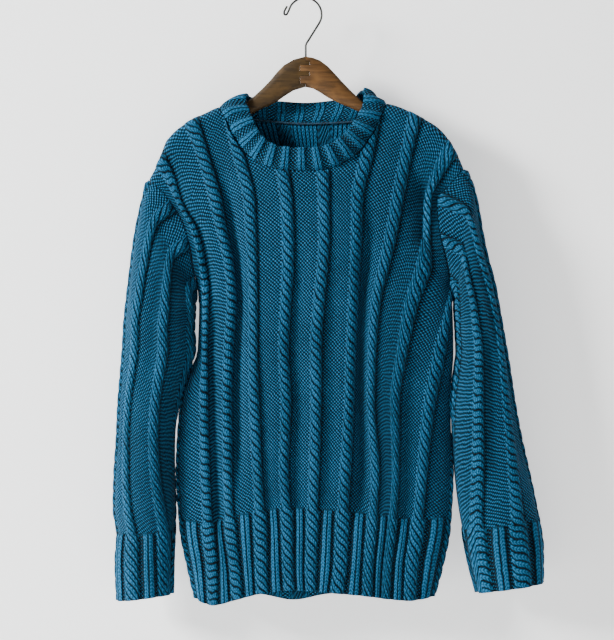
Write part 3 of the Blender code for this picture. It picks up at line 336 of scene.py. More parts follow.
def cloth_wale(grid_wale, drop, side):
    """The cloth's own wale at a grid column, and the stitches from there to the nearest seam."""
    if side < 0:
        left_edge = -40.0 - 5.0 * smooth((drop - 370) / 120)
        right_edge = 40.0 + 10.0 * smooth((drop - 340) / 60) + 5.0 * smooth((drop - 420) / 200)
    else:
        left_edge = -40.0 - 10.0 * smooth((drop - 330) / 60)
        right_edge = -left_edge
    wale = grid_wale
    for end, edge, straight in zip(ENDS[side], (left_edge, right_edge), (-STRAIGHT_WALE, STRAIGHT_WALE)):
        outer = straight + (grid_wale - straight) * (edge - straight) / (end - straight)
        wale = np.where(grid_wale * np.sign(straight) > STRAIGHT_WALE, outer, wale)
    return wale, np.minimum(wale - left_edge, right_edge - wale)


# %% [markdown]
# A cable is two strands of two stitches each. Every fourth row the left strand crosses over the right one,
# always the same way, so that the cable looks like a rope: one slanted lobe under the other, each coming
# down from the left edge to the right one, with a crease between them. A knit rib is a plain round ridge.


# %% Relief of cables and ribs
def from_cable(wale, offset):
    """Stitches from the middle of the nearest cable, from -5 to 5."""
    return (wale - offset + REPEAT / 2) % REPEAT - REPEAT / 2


def cable_height(wale, row, offset, in_rib):
    """Height of the cables over the ground."""
    over = (from_cable(wale, offset) - CABLE_MIDDLE) / (CABLE_HALF + HEM_CABLE * in_rib)
    inside = np.clip(over, -1, 1)
    lobe = (row - CABLE_SLANT * (0.5 * inside + 0.5 * inside ** 3)) / CABLE_ROWS % 1.0
    crest = np.sqrt(np.clip(1 - np.abs(2 * lobe - 1) ** (3.4 - 2.0 * np.abs(inside)), 0, 1))
    round_over = np.clip(1 - over ** 2, 0, 1) ** 0.4
    return CABLE_HEIGHT * round_over * (0.55 + 0.45 * crest)


def rib_height(wale, offset):
    """Height of the knit rib midway between two cables."""
    beside = REPEAT / 2 - np.abs(from_cable(wale, offset))
    return RIB_HEIGHT * np.sqrt(np.clip(1 - (beside / (RIB_HALF + 0.1)) ** 2, 0, 1))


def stitch_columns(first, last, offset):
    """Grid columns: close together on the cables and further apart between them."""
    places = {first, last}
    for repeat in range(int((first - offset) // REPEAT) - 1, int((last - offset) // REPEAT) + 2):
        cable = offset + repeat * REPEAT
        on_cable = CABLE_MIDDLE + CABLE_HALF * np.sin(np.linspace(-pi / 2, pi / 2, 11))
        beside_cable = np.array([-2.5, -2.15, 1.9, 2.25])
        on_rib = REPEAT / 2 + np.array([-1.9, -1.65, -1.25, -0.7, 0.0, 0.7, 1.25, 1.65, 1.9])
        for beside in [*on_cable, *beside_cable, *on_rib]:
            if first + 0.15 < cable + beside < last - 0.15:
                places.add(round(float(cable + beside), 4))
    return np.array(sorted(places))


# %% [markdown]
# A wall of cloth is a fine outer grid, a coarser inner one and the rims that join them. Each corner of a
# face gets its place in stitches and rows in the piece's own UV map, so that the wool's stitches follow
# the knitting wherever it bends. Inner faces take a second material, because purl stitches show their knit
# side there.

# %% Walls of cloth
INNER_STEP = 6             # the inner grid keeps every sixth row


def kept_rows(rows):
    """The rows of the outer grid that the inner one keeps."""
    return list(range(0, rows - 1, INNER_STEP)) + [rows - 1]


def skins(middle, normal, height):
    """Outer and inner grids of a wall round its middle surface, with relief on the outer one."""
    return middle + normal * (WALL / 2 + height[..., None]), middle - normal * (WALL / 2)


def wall_piece(name, outer, inner, stitches, closed, materials):
    """One thin wall from grids of columns by rows; stitches holds the wale and row of each point."""
    columns, rows = outer.shape[:2]
    kept = kept_rows(rows)
    points = placed(np.concatenate([outer.reshape(-1, 3), inner[:, kept].reshape(-1, 3)]))
    first_inner = columns * rows
    across = columns if closed else columns - 1
    wales_round = stitches[-1, :, 0] - stitches[0, :, 0]
    faces = []
    places = []
    sides = []

    def corner(layer, c, r):
        """Index and stitch place of a grid point; a closed piece runs on past its last column."""
        wrapped = c % columns
        place = stitches[wrapped, r].copy()
        if closed and c >= columns:
            place[0] = place[0] + wales_round[r] + stitches[1, r, 0] - stitches[0, r, 0]
        index = wrapped * rows + r if layer == 0 else first_inner + wrapped * len(kept) + kept.index(r)
        return index, place

    def add_face(corners, side):
        faces.append([corner_index for corner_index, _ in corners])
        places.extend(place for _, place in corners)
        sides.append(side)

    for c in range(across):
        for r in range(rows - 1):
            add_face([corner(0, c, r), corner(0, c, r + 1), corner(0, c + 1, r + 1), corner(0, c + 1, r)], 0)
        for r, below in zip(kept, kept[1:]):
            add_face([corner(1, c, r), corner(1, c + 1, r), corner(1, c + 1, below), corner(1, c, below)], 1)
        for r in (0, rows - 1):
            rim = [corner(1, c, r), corner(0, c, r), corner(0, c + 1, r), corner(1, c + 1, r)]
            add_face(rim if r == 0 else rim[::-1], 0)
    if not closed:
        for c in (0, columns - 1):
            for r, below in zip(kept, kept[1:]):
                rim = [corner(0, c, k) for k in range(below, r - 1, -1)]
                rim = [corner(1, c, r), corner(1, c, below), *rim]
                add_face(rim if c == 0 else rim[::-1], 0)
    mesh = bpy.data.meshes.new(name)
    mesh.from_pydata([tuple(p) for p in points], [], faces)
    layer = mesh.uv_layers.new(name="stitches")
    layer.uv.foreach_set("vector", np.array(places, np.float32).ravel())
    mesh.polygons.foreach_set("material_index", np.array(sides, np.int32))
    shaped = bmesh.new()
    shaped.from_mesh(mesh)
    if shaped.calc_volume(signed=True) < 0:
        bmesh.ops.reverse_faces(shaped, faces=shaped.faces)
    shaped.to_mesh(mesh)
    shaped.free()
    for material in materials:
        mesh.materials.append(material)
    mesh.shade_smooth()
    piece = linked(name, mesh)
    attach(piece, "root")
    print(name, "faces:", len(mesh.polygons))
    return piece


# %% [markdown]
# Every finish of the wool comes from the same few shader groups. One draws the stitches: staggered bumps
# on the purl side, and columns of V shapes on the knit side. Another says which stitches of the body and
# sleeves are knit, follows the crossing strands of a cable and says where shade is painted into the colour.
# A third does the same for the ribbing of the neckband.


# %% Shader helpers
class Number:
    """A number that a node tree works out, for use in ordinary sums."""

    def __init__(self, socket):
        self.socket = socket

    def apply(self, operation, *others):
        """The result of a Math node on this number and up to two others."""
        node = self.socket.id_data.nodes.new("ShaderNodeMath")
        node.operation = operation
        for given, value in zip(node.inputs, (self, *others)):
            feed_socket(given, value)
        return Number(node.outputs[0])

    def __add__(self, other):
        return self.apply("ADD", other)

    def __sub__(self, other):
        return self.apply("SUBTRACT", other)

    def __rsub__(self, other):
        return self * -1.0 + other

    def __mul__(self, other):
        return self.apply("MULTIPLY", other)

    def __truediv__(self, other):
        return self.apply("DIVIDE", other)

    def __pow__(self, other):
        return self.apply("POWER", other)

    def __abs__(self):
        return self.apply("ABSOLUTE")


def feed_socket(given, value):
    """Sets an input, or links it where the value is a number or socket of the tree."""
    if isinstance(value, Number):
        value = value.socket
    if isinstance(value, bpy.types.NodeSocket):
        given.id_data.links.new(value, given)
    else:
        given.default_value = value


def feed(node, values):
    """Feeds the inputs of a node by their names."""
    for name, value in values.items():
        feed_socket(node.inputs[name], value)
    return node


def shader_group(name, inputs, outputs):
    """An empty node group with number sockets, its inputs as numbers, and its output node."""
    group = bpy.data.node_groups.new(name, "ShaderNodeTree")
    for sockets, way in ((inputs, "INPUT"), (outputs, "OUTPUT")):
        for socket in sockets:
            group.interface.new_socket(name=socket, in_out=way, socket_type="NodeSocketFloat")
    given = group.nodes.new("NodeGroupInput")
    result = group.nodes.new("NodeGroupOutput")
    return group, [Number(given.outputs[name]) for name in inputs], result


LAYOUT_INPUTS = ("Wale", "Row", "Rib")
# The last output of a layout is a mask of where shade is painted into the wool's colour.
LAYOUT_OUTPUTS = ("Across", "Row", "Knit", "Depth")


# %% [markdown]
# The three groups themselves. On the real pullover these are the knitter's chart: which stitches are knit,
# which are purl and where strands cross. Sums on the wale and the row draw it sharp at any distance.


# %% Shader groups
def stitch_group():
    """Height of the yarn: bumps where Knit is 0, and columns of V shapes where it is 1."""
    group, (across, row, knit), result = shader_group("stitches", ("Across", "Row", "Knit"), ("Height",))
    falling = ((across - row) * tau).apply("COSINE")
    rising = ((across + row) * tau).apply("COSINE")
    bumps = falling * 0.32 + (rising * 0.24 + 0.5)
    from_middle = abs(across.apply("FRACT") - 0.5) * 2.0
    legs = ((row - from_middle * 0.8) * tau).apply("COSINE") * 0.17 + 0.83
    groove = 1.0 - from_middle ** 3.0 * 0.95
    slit = 1.0 - (1.0 - from_middle) ** 5.0 * 0.3
    knitted = legs * groove * slit
    feed(result, {"Height": knitted * knit + bumps * (1.0 - knit)})
    return group


def cable_group():
    """Layout of the body and sleeves: a cable every ten stitches, a knit rib between where Rib is 1, and
    painted shade.
    """
    group, (wale, row, rib), result = shader_group("cable layout", LAYOUT_INPUTS, LAYOUT_OUTPUTS)
    beside = wale.apply("WRAP", REPEAT / 2, -REPEAT / 2)
    from_middle = beside - CABLE_MIDDLE
    half = rib * HEM_CABLE + CABLE_HALF
    over = from_middle / half
    bent = abs(over) ** 3.0 * over.apply("SIGN") * 0.5 + over * 0.5
    lobe = ((row - bent * CABLE_SLANT) / CABLE_ROWS).apply("FRACT")
    is_cable = abs(over).apply("LESS_THAN", 1.0)
    not_cable = 1.0 - is_cable
    from_rib = REPEAT / 2 - abs(beside)
    is_rib = from_rib.apply("LESS_THAN", RIB_HALF) * rib
    plain = from_rib / RIB_HALF * is_rib + beside * (1.0 - is_rib)
    # Painted shade: in the crease between a cable's lobes, as a painted shadow on the ground to each cable's
    # right, and in the furrows at both sides of a knit rib.
    narrow = (abs(over) * -4.5 + 6.0).apply("MAXIMUM", 1.5)
    crease = abs(lobe * 2.0 - 1.0) ** narrow * is_cable
    beyond = abs(from_middle - half - 0.15) / SHADE_WIDTH
    cable_shadow = (1.0 - beyond.apply("MINIMUM", 1.0)) * not_cable
    from_furrow = abs(from_rib - (RIB_HALF + 0.3)) / SHADE_WIDTH
    rib_furrow_shade = (1.0 - from_furrow.apply("MINIMUM", 1.0)) * rib * 1.5
    depth = crease.apply("MAXIMUM", cable_shadow).apply("MAXIMUM", rib_furrow_shade)
    feed(result, {
        "Across": lobe * 2.0 * is_cable + plain * not_cable,
        "Row": over * 3.2 * is_cable + row * not_cable,
        "Knit": is_cable.apply("MAXIMUM", is_rib),
        "Depth": depth.apply("MAXIMUM", 0.0).apply("MINIMUM", 1.0),
    })
    return group


def ribbing_group():
    """Layout of the neckband: two knit stitches, and two purl ones with shade painted into the valley
    between them.
    """
    group, (wale, row, _), result = shader_group("ribbing layout", LAYOUT_INPUTS, LAYOUT_OUTPUTS)
    place = wale.apply("WRAP", 4.0, 0.0)
    # Painted shade in the valley between the two purl stitches.
    depth = (1.0 - abs(place - 3.0).apply("MINIMUM", 1.0)) * 0.6
    feed(result, {"Across": wale, "Row": row, "Knit": place.apply("LESS_THAN", 2.0), "Depth": depth})
    return group


# %% [markdown]
# Wool, wood and wire are built from the same few nodes: a noise, a colour ramp and a bump; plaster is a
# plain shader. Small helpers for these keep each finish down to its own numbers.


# %% Parts of a material
def new_material(name, values):
    """A material, its node tree and its shader with inputs fed from values."""
    material = bpy.data.materials.new(name)
    material.use_nodes = True
    return material, material.node_tree, feed(material.node_tree.nodes["Principled BSDF"], values)


def noise(tree, place, scale, detail=2.0, roughness=0.5):
    """A noise pattern, as a number."""
    values = {"Vector": place, "Scale": scale, "Detail": detail, "Roughness": roughness}
    return Number(feed(tree.nodes.new("ShaderNodeTexNoise"), values).outputs["Fac"])


def colours(tree, number, *stops):
    """Colours blended along a number; each stop is a place and a colour."""
    ramp = feed(tree.nodes.new("ShaderNodeValToRGB"), {"Fac": number})
    elements = ramp.color_ramp.elements
    for _ in stops[2:]:
        elements.new(0.5)
    for element, (place, colour) in zip(elements, stops):
        element.position = place
        element.color = (*colour, 1.0)
    return ramp.outputs["Color"]


def bumps(tree, height, strength, distance):
    """Normals bent by a height."""
    values = {"Height": height, "Strength": strength, "Distance": distance}
    return feed(tree.nodes.new("ShaderNodeBump"), values).outputs["Normal"]


def object_place(tree):
    """Place in the object's own coordinates."""
    return tree.nodes.new("ShaderNodeTexCoord").outputs["Object"]


# %% [markdown]
# The wool is teal. Light is painted on the top of each stitch in a clear blue, and shade between the
# stitches in an almost black-green. A colour ramp on the stitches' height paints both, a slow noise makes
# dyed patches and a fine one breaks the yarn up. Fuzz on the yarn scatters light at the edges, which a
# little sheen stands for.

# %% Wool
# Painted shade between the stitches, the wool's middle tone, and painted light on the tops of the stitches.
SHADED_WOOL = (0.0004, 0.0040, 0.0070)
MID_WOOL = (0.0025, 0.0440, 0.0880)
LIT_WOOL = (0.0200, 0.1500, 0.3100)
CREASE_SHADE = 0.32        # how much darker the painted shade makes the yarn in a cable's creases, its shadow to the right and the furrows beside ribs


WOOL_SURFACE = {
    "Roughness": 0.9,
    "Specular IOR Level": 0.1,
    "Sheen Weight": 0.06,
    "Sheen Roughness": 0.5,
    "Sheen Tint": (0.3, 0.7, 1.0, 1.0),
}
SWAY_START = (37.0, 11.0, 0.0)           # keeps the sideways noise apart from the one along the rows


def wool(name, layout, inside=False):
    """Knitted wool whose stitches follow the UV map "stitches"."""
    material, tree, shader = new_material(name, WOOL_SURFACE)
    uv = tree.nodes.new("ShaderNodeUVMap")
    uv.uv_map = "stitches"
    stitch_place = uv.outputs["UV"]
    split = feed(tree.nodes.new("ShaderNodeSeparateXYZ"), {"Vector": stitch_place})
    row = (noise(tree, stitch_place, 0.35, 1.0) - 0.5) * 0.9 + split.outputs["Y"]
    shifted = tree.nodes.new("ShaderNodeVectorMath")
    shifted.inputs[1].default_value = SWAY_START
    tree.links.new(stitch_place, shifted.inputs[0])
    wale = (noise(tree, shifted.outputs["Vector"], 0.6, 1.0) - 0.5) * 0.5 + split.outputs["X"]
    rib = tree.nodes.new("ShaderNodeAttribute")
    rib.attribute_name = "rib"
    plan = tree.nodes.new("ShaderNodeGroup")
    plan.node_tree = layout
    feed(plan, {"Wale": wale, "Row": row, "Rib": rib.outputs["Fac"]})
    knit = Number(plan.outputs["Knit"])
    stitch = tree.nodes.new("ShaderNodeGroup")
    stitch.node_tree = STITCHES
    feed(stitch, {
        "Across": plan.outputs["Across"],
        "Row": plan.outputs["Row"],
        "Knit": 1.0 - knit if inside else knit,
    })
    place = object_place(tree)
    height = (noise(tree, place, 900.0) - 0.5) * 0.35 + stitch.outputs["Height"]
    # Painted shade from the layout's mask darkens the yarn; the inside gets none.
    shade = Number(plan.outputs["Depth"]) * (0.0 if inside else CREASE_SHADE)
    # The ramp paints shade where the yarn lies low and light on the tops of the stitches.
    tone = (noise(tree, place, 22.0, 3.0) - 0.5) * 0.25 + (height - shade)
    stops = ((0.20, SHADED_WOOL), (0.55, MID_WOOL), (0.92, LIT_WOOL))
    feed(shader, {"Base Color": colours(tree, tone, *stops), "Normal": bumps(tree, height, 1.0, 0.0022)})
    return material


STITCHES = stitch_group()
CABLES = cable_group()
RIBBING = ribbing_group()
WOOL = wool("wool cables", CABLES)
WOOL_INSIDE = wool("wool cables inside", CABLES, inside=True)
BAND_WOOL = wool("wool ribbing", RIBBING)
BAND_INSIDE = wool("wool ribbing inside", RIBBING, inside=True)


# %% [markdown]
# The front and the back. Rows start at the shoulder line, or at the neck edge in the middle, and lie close
# together where the cloth rolls over the hanger's arm.


# %% Front and back
def way_at_drop(guides, drop):
    """The way down each wale at which it reaches a drop."""
    length = wale_length(guides)
    found = []
    for i in range(len(length)):
        way = np.linspace(0, length[i], 400)
        _, drops = along((guides[0][i:i + 1], guides[1][i:i + 1]), way[None, :])
        found.append(np.interp(drop[i], drops[0], way))
    return np.array(found)


def panel_ways(side, wale, rows):
    """Where the rows of the grid lie on each wale."""
    guides = guides_of(side, wale)
    neck = NECK_FRONT if side < 0 else NECK_BACK
    top = np.zeros(len(wale))
    in_neck = (wale > NECK_LEFT) & (wale < NECK_RIGHT)
    top[in_neck] = way_at_drop(guides, look_up(neck, wale))[in_neck]
    close = [ROLL * (1 - cos(angle)) for angle in np.linspace(0, pi / 2, 8)]
    even = np.linspace(0, 1, rows - 6)[1:]
    length = wale_length(guides)
    ways = [top + step for step in close]
    ways += [top + ROLL + (length - top - ROLL) * share for share in even]
    return np.array(ways).T


def add_rib_attribute(piece, outer_ribs, rows):
    """Marks where knit ribs run between the cables, on both skins of the wall."""
    values = np.concatenate([outer_ribs.ravel(), outer_ribs[:, kept_rows(rows)].ravel()])
    mark = piece.data.attributes.new("rib", "FLOAT", "POINT")
    mark.data.foreach_set("value", values.astype(np.float32))


def panel(name, side, rows):
    """The front or the back, with its middle surface and normals for the pieces that are sewn to it."""
    wale = stitch_columns(*ENDS[side], 5.0)
    wale = np.unique(np.concatenate([wale, [NECK_LEFT, NECK_RIGHT]]))
    way = panel_ways(side, wale, rows)
    middle = panel_surface(side, wale, way)
    normal = panel_normals(side, wale, way)
    drop = -middle[..., 2]
    knit, to_edge = cloth_wale(wale[:, None], drop, side)
    row = way / ROW
    length = wale_length(guides_of(side, wale))
    in_rib = smooth((way - (length[:, None] - HEM_RIB) + 4) / 8)
    height = np.maximum(cable_height(knit, row, 5.0, in_rib), rib_height(knit, 5.0) * in_rib)
    height = height * np.clip(to_edge / SELVAGE, 0, 1) * np.clip((way - way[:, :1]) / 4 + 0.25, 0, 1)
    outer, inner = skins(middle, normal, height)
    shoulder = (wale <= NECK_LEFT) | (wale >= NECK_RIGHT)
    for grid in (outer, inner):
        grid[..., 1] = side * np.maximum(side * grid[..., 1], SEAM_GAP / 2)
        grid[shoulder, 0, 1] = side * SEAM_GAP / 2
        for edge in (0, -1):
            grid[edge, drop[edge] > UNDERARM_DROP - 1, 1] = side * SEAM_GAP / 2
    stitches = np.stack([knit - 5.0, row], axis=-1)
    piece = wall_piece(name, outer, inner, stitches, False, (WOOL, WOOL_INSIDE))
    add_rib_attribute(piece, (in_rib > 0.5).astype(float), rows)
    return piece, wale, middle, normal


PANEL_ROWS = 330
front, front_wale, front_mid, front_normal = panel("front_cloth", -1, PANEL_ROWS)
back, back_wale, back_mid, back_normal = panel("back_cloth", 1, PANEL_ROWS)

# %% [markdown]
# A sleeve is a tube that was knitted from the shoulder to the cuff. Its first ring is the armhole it is
# sewn into; the other rings are rounded sections down the arm, each in the plane of its outer and inner
# points. Wales are spread round each ring, and the tube loses stitches at its underside on the way to the
# cuff.

# %% Lines of the sleeves
SLEEVE_HALF_TOP = 35.0
SLEEVE_STRAIGHT = 20.0
CUFF_RIB = 82.0
LEFT_RINGS = (
    # outer across and drop, inner across and drop, depth before and behind, lean, half the stitches, turn
    (-203, 256, -139.0, 389, 20, 19, 0, 35.0, 1.5), (-209, 283, -139.5, 392, 25, 23, 0, 35.0, 1.5),
    (-214, 312, -140.5, 397, 28, 26, 0, 34.0, 1.5), (-218, 344, -142.0, 403, 30, 28, 0, 33.5, 1.5),
    (-222, 378, -143.0, 411, 31, 29, 0, 33.0, 1.5), (-226, 414, -144.0, 424, 31, 29, -2, 32.5, 1.5),
    (-228, 446, -142.5, 446, 30, 28, -3, 32.0, 1.5), (-231, 483, -151.5, 481, 29, 27, -4, 31.0, 1.5),
    (-234, 521, -160.5, 519, 27, 26, -6, 30.0, 1.5), (-236, 564, -165.4, 564, 26, 25, -8, 28.5, 1.5),
    (-239, 608, -165.8, 608, 25, 24, -8, 27.0, 1.5), (-240, 650, -165.8, 648, 25, 24, -6, 25.5, 1.5),
    (-235, 688, -168.0, 683, 23, 22, -4, 24.0, 1.5), (-237, 722, -170.0, 714, 22, 21, -4, 23.0, 1.5),
    (-235, 769, -171.0, 760, 22, 21, -4, 22.5, 1.5),
)
RIGHT_RINGS = (
    (213, 241, 194.5, 391, 20, 19, 0, 35.0, -1.0), (219, 265, 195.0, 396, 25, 23, 0, 35.0, -1.0),
    (225, 299, 196.0, 402, 28, 26, 0, 34.0, -1.5), (232, 331, 197.0, 409, 30, 28, 0, 33.5, -2.0),
    (241, 365, 198.0, 418, 31, 29, 0, 33.0, -2.0), (247, 398, 198.5, 430, 31, 29, -1, 32.5, -2.0),
    (253, 432, 199.5, 450, 30, 28, -2, 32.0, -2.0), (260, 471, 195.0, 481, 29, 27, -5, 31.0, -2.0),
    (267, 515, 189.5, 519, 28, 26, -8, 30.0, -2.0), (276, 562, 191.0, 568, 27, 25, -8, 28.5, -2.0),
    (285, 602, 194.5, 612, 26, 24, -6, 27.0, -2.0), (293, 640, 199.5, 652, 25, 24, -4, 25.5, -2.0),
    (299, 672, 205.5, 684, 23, 22, -4, 24.0, -2.0), (303, 705, 213.0, 717, 22, 21, -4, 23.0, -2.0),
    (303, 746.5, 224.0, 758, 22, 21, -4, 22.5, -2.0),
)
LEFT_SLEEVE_FOLDS = ((5.5, 6.5, 5.0, 13.5, 8.0, 2.8), (17.0, 16.0, 2.0, 9.0, 4.0, 3.0))
RIGHT_SLEEVE_FOLDS = ((-6.0, -5.5, 1.0, 12.5, 7.0, 2.8), (-16.0, -15.0, 6.0, 12.0, 4.0, 2.8))
SLEEVE_BACK_FOLDS = ((14.0, 13.0, 2.0, 13.0, 5.0, 3.0), (24.0, 20.0, 1.0, 9.0, 4.0, 3.0))


# %% Sleeves
def closed_ring(front_half, back_half):
    """A closed ring from its front and back halves, both from the outer point to the inner one."""
    return np.concatenate([front_half, back_half[::-1][1:-1]])


def at_share(ring, share):
    """Rows of a closed ring at shares of the way round; the first three columns are its points."""
    loop = np.concatenate([ring, ring[:1]])
    length = travelled(loop[:, :3])
    at = (share % 1.0) * length[-1]
    return np.stack([np.interp(at, length, loop[:, k]) for k in range(ring.shape[1])], axis=-1)


def section_ring(outer_x, outer_drop, inner_x, inner_drop, before, behind, forward):
    """One ring of a sleeve: a rounded section in the plane of its outer and inner points."""
    angle = np.linspace(0, pi, 61)
    share = (1 - np.cos(angle)) / 2
    swell = np.abs(np.sin(angle)) ** 0.85
    x = outer_x + (inner_x - outer_x) * share
    z = -(outer_drop + (inner_drop - outer_drop) * share)
    lean = forward * np.sin(angle)
    return closed_ring(np.stack([x, lean - before * swell, z], axis=-1),
                       np.stack([x, lean + behind * swell, z], axis=-1))


def armhole_ring(edge_index, outwards):
    """The sleeve's first ring: the panels' armhole edges, moved out by the seam's gap, and their normals."""
    halves = []
    for middle, normal in ((front_mid, front_normal), (back_mid, back_normal)):
        edge = np.concatenate([middle[edge_index], normal[edge_index]], axis=1)
        above = edge[-edge[:, 2] < UNDERARM_DROP - 2]
        halves.append(np.concatenate([above, [[above[-1, 0], 0, -UNDERARM_DROP - 2, outwards, 0, 0]]]))
    ring = closed_ring(*halves)
    low = smooth((-ring[:, 2] - 290) / 80)
    ring[:, 0] += outwards * (SEAM_GAP + 0.6 + low * (WALL + 0.4))
    ring[:, 2] -= 0.2 * (1 - low)
    return np.concatenate([ring, 1 - low[:, None]], axis=1)


def sleeve(name, rings_table, ring_zero, folds, outwards, rows):
    """One sleeve as a tube from the armhole to the cuff."""
    columns = stitch_columns(-SLEEVE_HALF_TOP, SLEEVE_HALF_TOP, 0.0)[:-1]
    halves = [SLEEVE_HALF_TOP] + column(rings_table, 7)
    turns = [0.0] + column(rings_table, 8)
    rings = [ring_zero] + [section_ring(*row[:7]) for row in rings_table]
    stations = np.arange(len(rings), dtype=float)
    centres = np.array([ring[:, :3].mean(axis=0) for ring in rings])
    spread = travelled(centres) + 6.0 * stations
    at = np.interp(np.linspace(0, spread[-1], rows + 1), spread, stations)

    def knit_wale(grid_wale, half):
        outer = SLEEVE_STRAIGHT + (np.abs(grid_wale) - SLEEVE_STRAIGHT) * (half - SLEEVE_STRAIGHT) / (
            SLEEVE_HALF_TOP - SLEEVE_STRAIGHT)
        return np.where(np.abs(grid_wale) > SLEEVE_STRAIGHT, np.sign(grid_wale) * outer, grid_wale)

    def surface(grid_wale, place):
        lines = []
        for ring, half, turn in zip(rings, halves, turns):
            knit = knit_wale(grid_wale, half)
            share = -outwards * (knit / (2 * half) - turn / (2 * half) * (1 - (np.abs(knit) / half) ** 2))
            lines.append(at_share(ring, share))
        seam = lines[0]
        lines = np.array([line[:, :3] for line in lines])
        points = np.empty((len(grid_wale), len(place), 3))
        for i in range(len(grid_wale)):
            for k in range(3):
                points[i, :, k] = through(stations, lines[:, i, k], place)
        half_here = np.interp(place, stations, halves)
        centre = np.stack([through(stations, centres[:, k], place) for k in range(3)], axis=-1)
        knit = np.array([knit_wale(grid_wale, half) for half in half_here]).T
        dent = fold_depth(knit, place[None, :] + 0 * knit, folds)
        inward = centre[None] - points
        inward[..., 2] = 0
        return points + unit(inward) * dent[..., None], knit, half_here, seam

    small = 0.05
    middle, knit, half_here, seam = surface(columns, at)
    wrap_high = np.where(columns + small > SLEEVE_HALF_TOP, -SLEEVE_HALF_TOP, columns + small)
    low_wale = columns - small
    low_wale[0] = SLEEVE_HALF_TOP - small
    over = surface(wrap_high, at)[0] - surface(low_wale, at)[0]
    last = stations[-1]
    down = surface(columns, np.minimum(at + small, last))[0] - surface(columns, np.maximum(at - small, 0))[0]
    normal = unit(np.cross(over, down))
    if (np.einsum("ijk,ijk->ij", normal, middle - middle.mean(axis=0)[None])).mean() < 0:
        normal = -normal
    length = travelled(middle.mean(axis=0))
    own = smooth(1 - seam[:, 6:7])[:, None]
    own = own + (1 - own) * smooth(length / 12)[None, :, None]
    normal = unit(normal * own + seam[:, None, 3:6] * (1 - own))
    row = np.broadcast_to(length / ROW, knit.shape) * 0.5 + travelled(middle) / ROW * 0.5
    in_rib = smooth((length - (length[-1] - CUFF_RIB) + 4) / 8)[None, :] + 0 * knit
    height = np.maximum(cable_height(knit, row, 0.0, in_rib), rib_height(knit, 0.0) * in_rib)
    height = height * np.clip((half_here[None, :] - np.abs(knit)) / SELVAGE, 0, 1)
    height = height * smooth(length / 5)[None, :]
    outer, inner = skins(middle, normal, height)
    piece = wall_piece(name, outer, inner, np.stack([knit, row], axis=-1), True, (WOOL, WOOL_INSIDE))
    add_rib_attribute(piece, (in_rib > 0.5).astype(float), rows + 1)
    return piece


def folds_of(front_folds, outwards):
    """The folds of a sleeve's front with those of its back, which mirror each other."""
    back_folds = [(outwards * row[0], outwards * row[1], *row[2:]) for row in SLEEVE_BACK_FOLDS]
    return [*front_folds, *back_folds]


SLEEVE_ROWS = 300
left_folds = folds_of(LEFT_SLEEVE_FOLDS, -1)
right_folds = folds_of(RIGHT_SLEEVE_FOLDS, 1)
left_sleeve = sleeve("sleeve_left_cloth", LEFT_RINGS, armhole_ring(0, -1), left_folds, -1, SLEEVE_ROWS)
right_sleeve = sleeve("sleeve_right_cloth", RIGHT_RINGS, armhole_ring(-1, 1), right_folds, 1, SLEEVE_ROWS)

# %% [markdown]
# The neckband is picked up along the neck edge and knitted in ribs of two, so it draws in and stands up
# round the neck. Each column of it is a curve from the neck edge over a crest to the free edge.

# %% Lines of the neckband
BAND_RIBS = 24
BAND_RIB_HEIGHT = 2.4
BAND_STATIONS = (
    # share of the way round, crest's guide point and free edge: across, back, drop
    (0.000, 2, -30, 208, 2, -25, 194), (0.070, -31, -29, 206, -29, -24, 192),
    (0.130, -55, -27, 196, -49, -21, 182), (0.190, -73, -22, 176, -60, -17, 167),
    (0.240, -84, -17, 150, -67, -14, 150), (0.285, -92, -14, 132, -73, -10, 135),
    (0.318, -91, -2, 126, -74, -1, 124), (0.350, -87, 8, 125, -71, 8, 125),
    (0.390, -66, 16, 126, -58, 14, 129), (0.440, -34, 18, 140, -32, 18, 130),
    (0.500, 3, 19, 146, 2, 19, 132), (0.560, 42, 18, 140, 39, 18, 129),
    (0.610, 75, 15, 124, 64, 14, 126), (0.650, 91, 8, 121, 74, 7, 119),
    (0.682, 95, -2, 121, 77, -1, 118), (0.715, 95, -14, 129, 77, -10, 129),
    (0.760, 88, -19, 150, 71, -14, 149), (0.810, 78, -24, 172, 62, -17, 163),
    (0.870, 60, -28, 194, 48, -21, 179), (0.930, 36, -30, 206, 28, -24, 191),
)


# %% Neckband
def neck_loop():
    """The neck edge of the panels as one loop from the middle of the front, by the left side."""
    parts = []
    for wale, grid, normal in ((front_wale, front_mid, front_normal), (back_wale, back_mid, back_normal)):
        inside = (wale >= NECK_LEFT) & (wale <= NECK_RIGHT)
        parts.append((grid[inside, 0], normal[inside, 0]))
    (front_points, front_normals), (back_points, back_normals) = parts
    points = np.concatenate([front_points[::-1], back_points[1:-1]])
    normals = np.concatenate([front_normals[::-1], back_normals[1:-1]])
    ups = unit(np.cross(normals, np.roll(points, -1, axis=0) - np.roll(points, 1, axis=0)))
    over_neck = np.array([2.0, 0.0, -100.0]) - points
    ups *= np.sign((ups * over_neck).sum(axis=-1, keepdims=True))
    start = int(np.argmin(np.abs(front_points[::-1][:, 0] - 2)))
    return tuple(np.roll(part, -start, axis=0) for part in (points, normals, ups))


def round_table(share, index):
    """A column of the band's table round the closed ring."""
    shares = column(BAND_STATIONS, 0)
    around = [s - 1 for s in shares] + shares + [s + 1 for s in shares]
    return through(around, column(BAND_STATIONS, index) * 3, share)


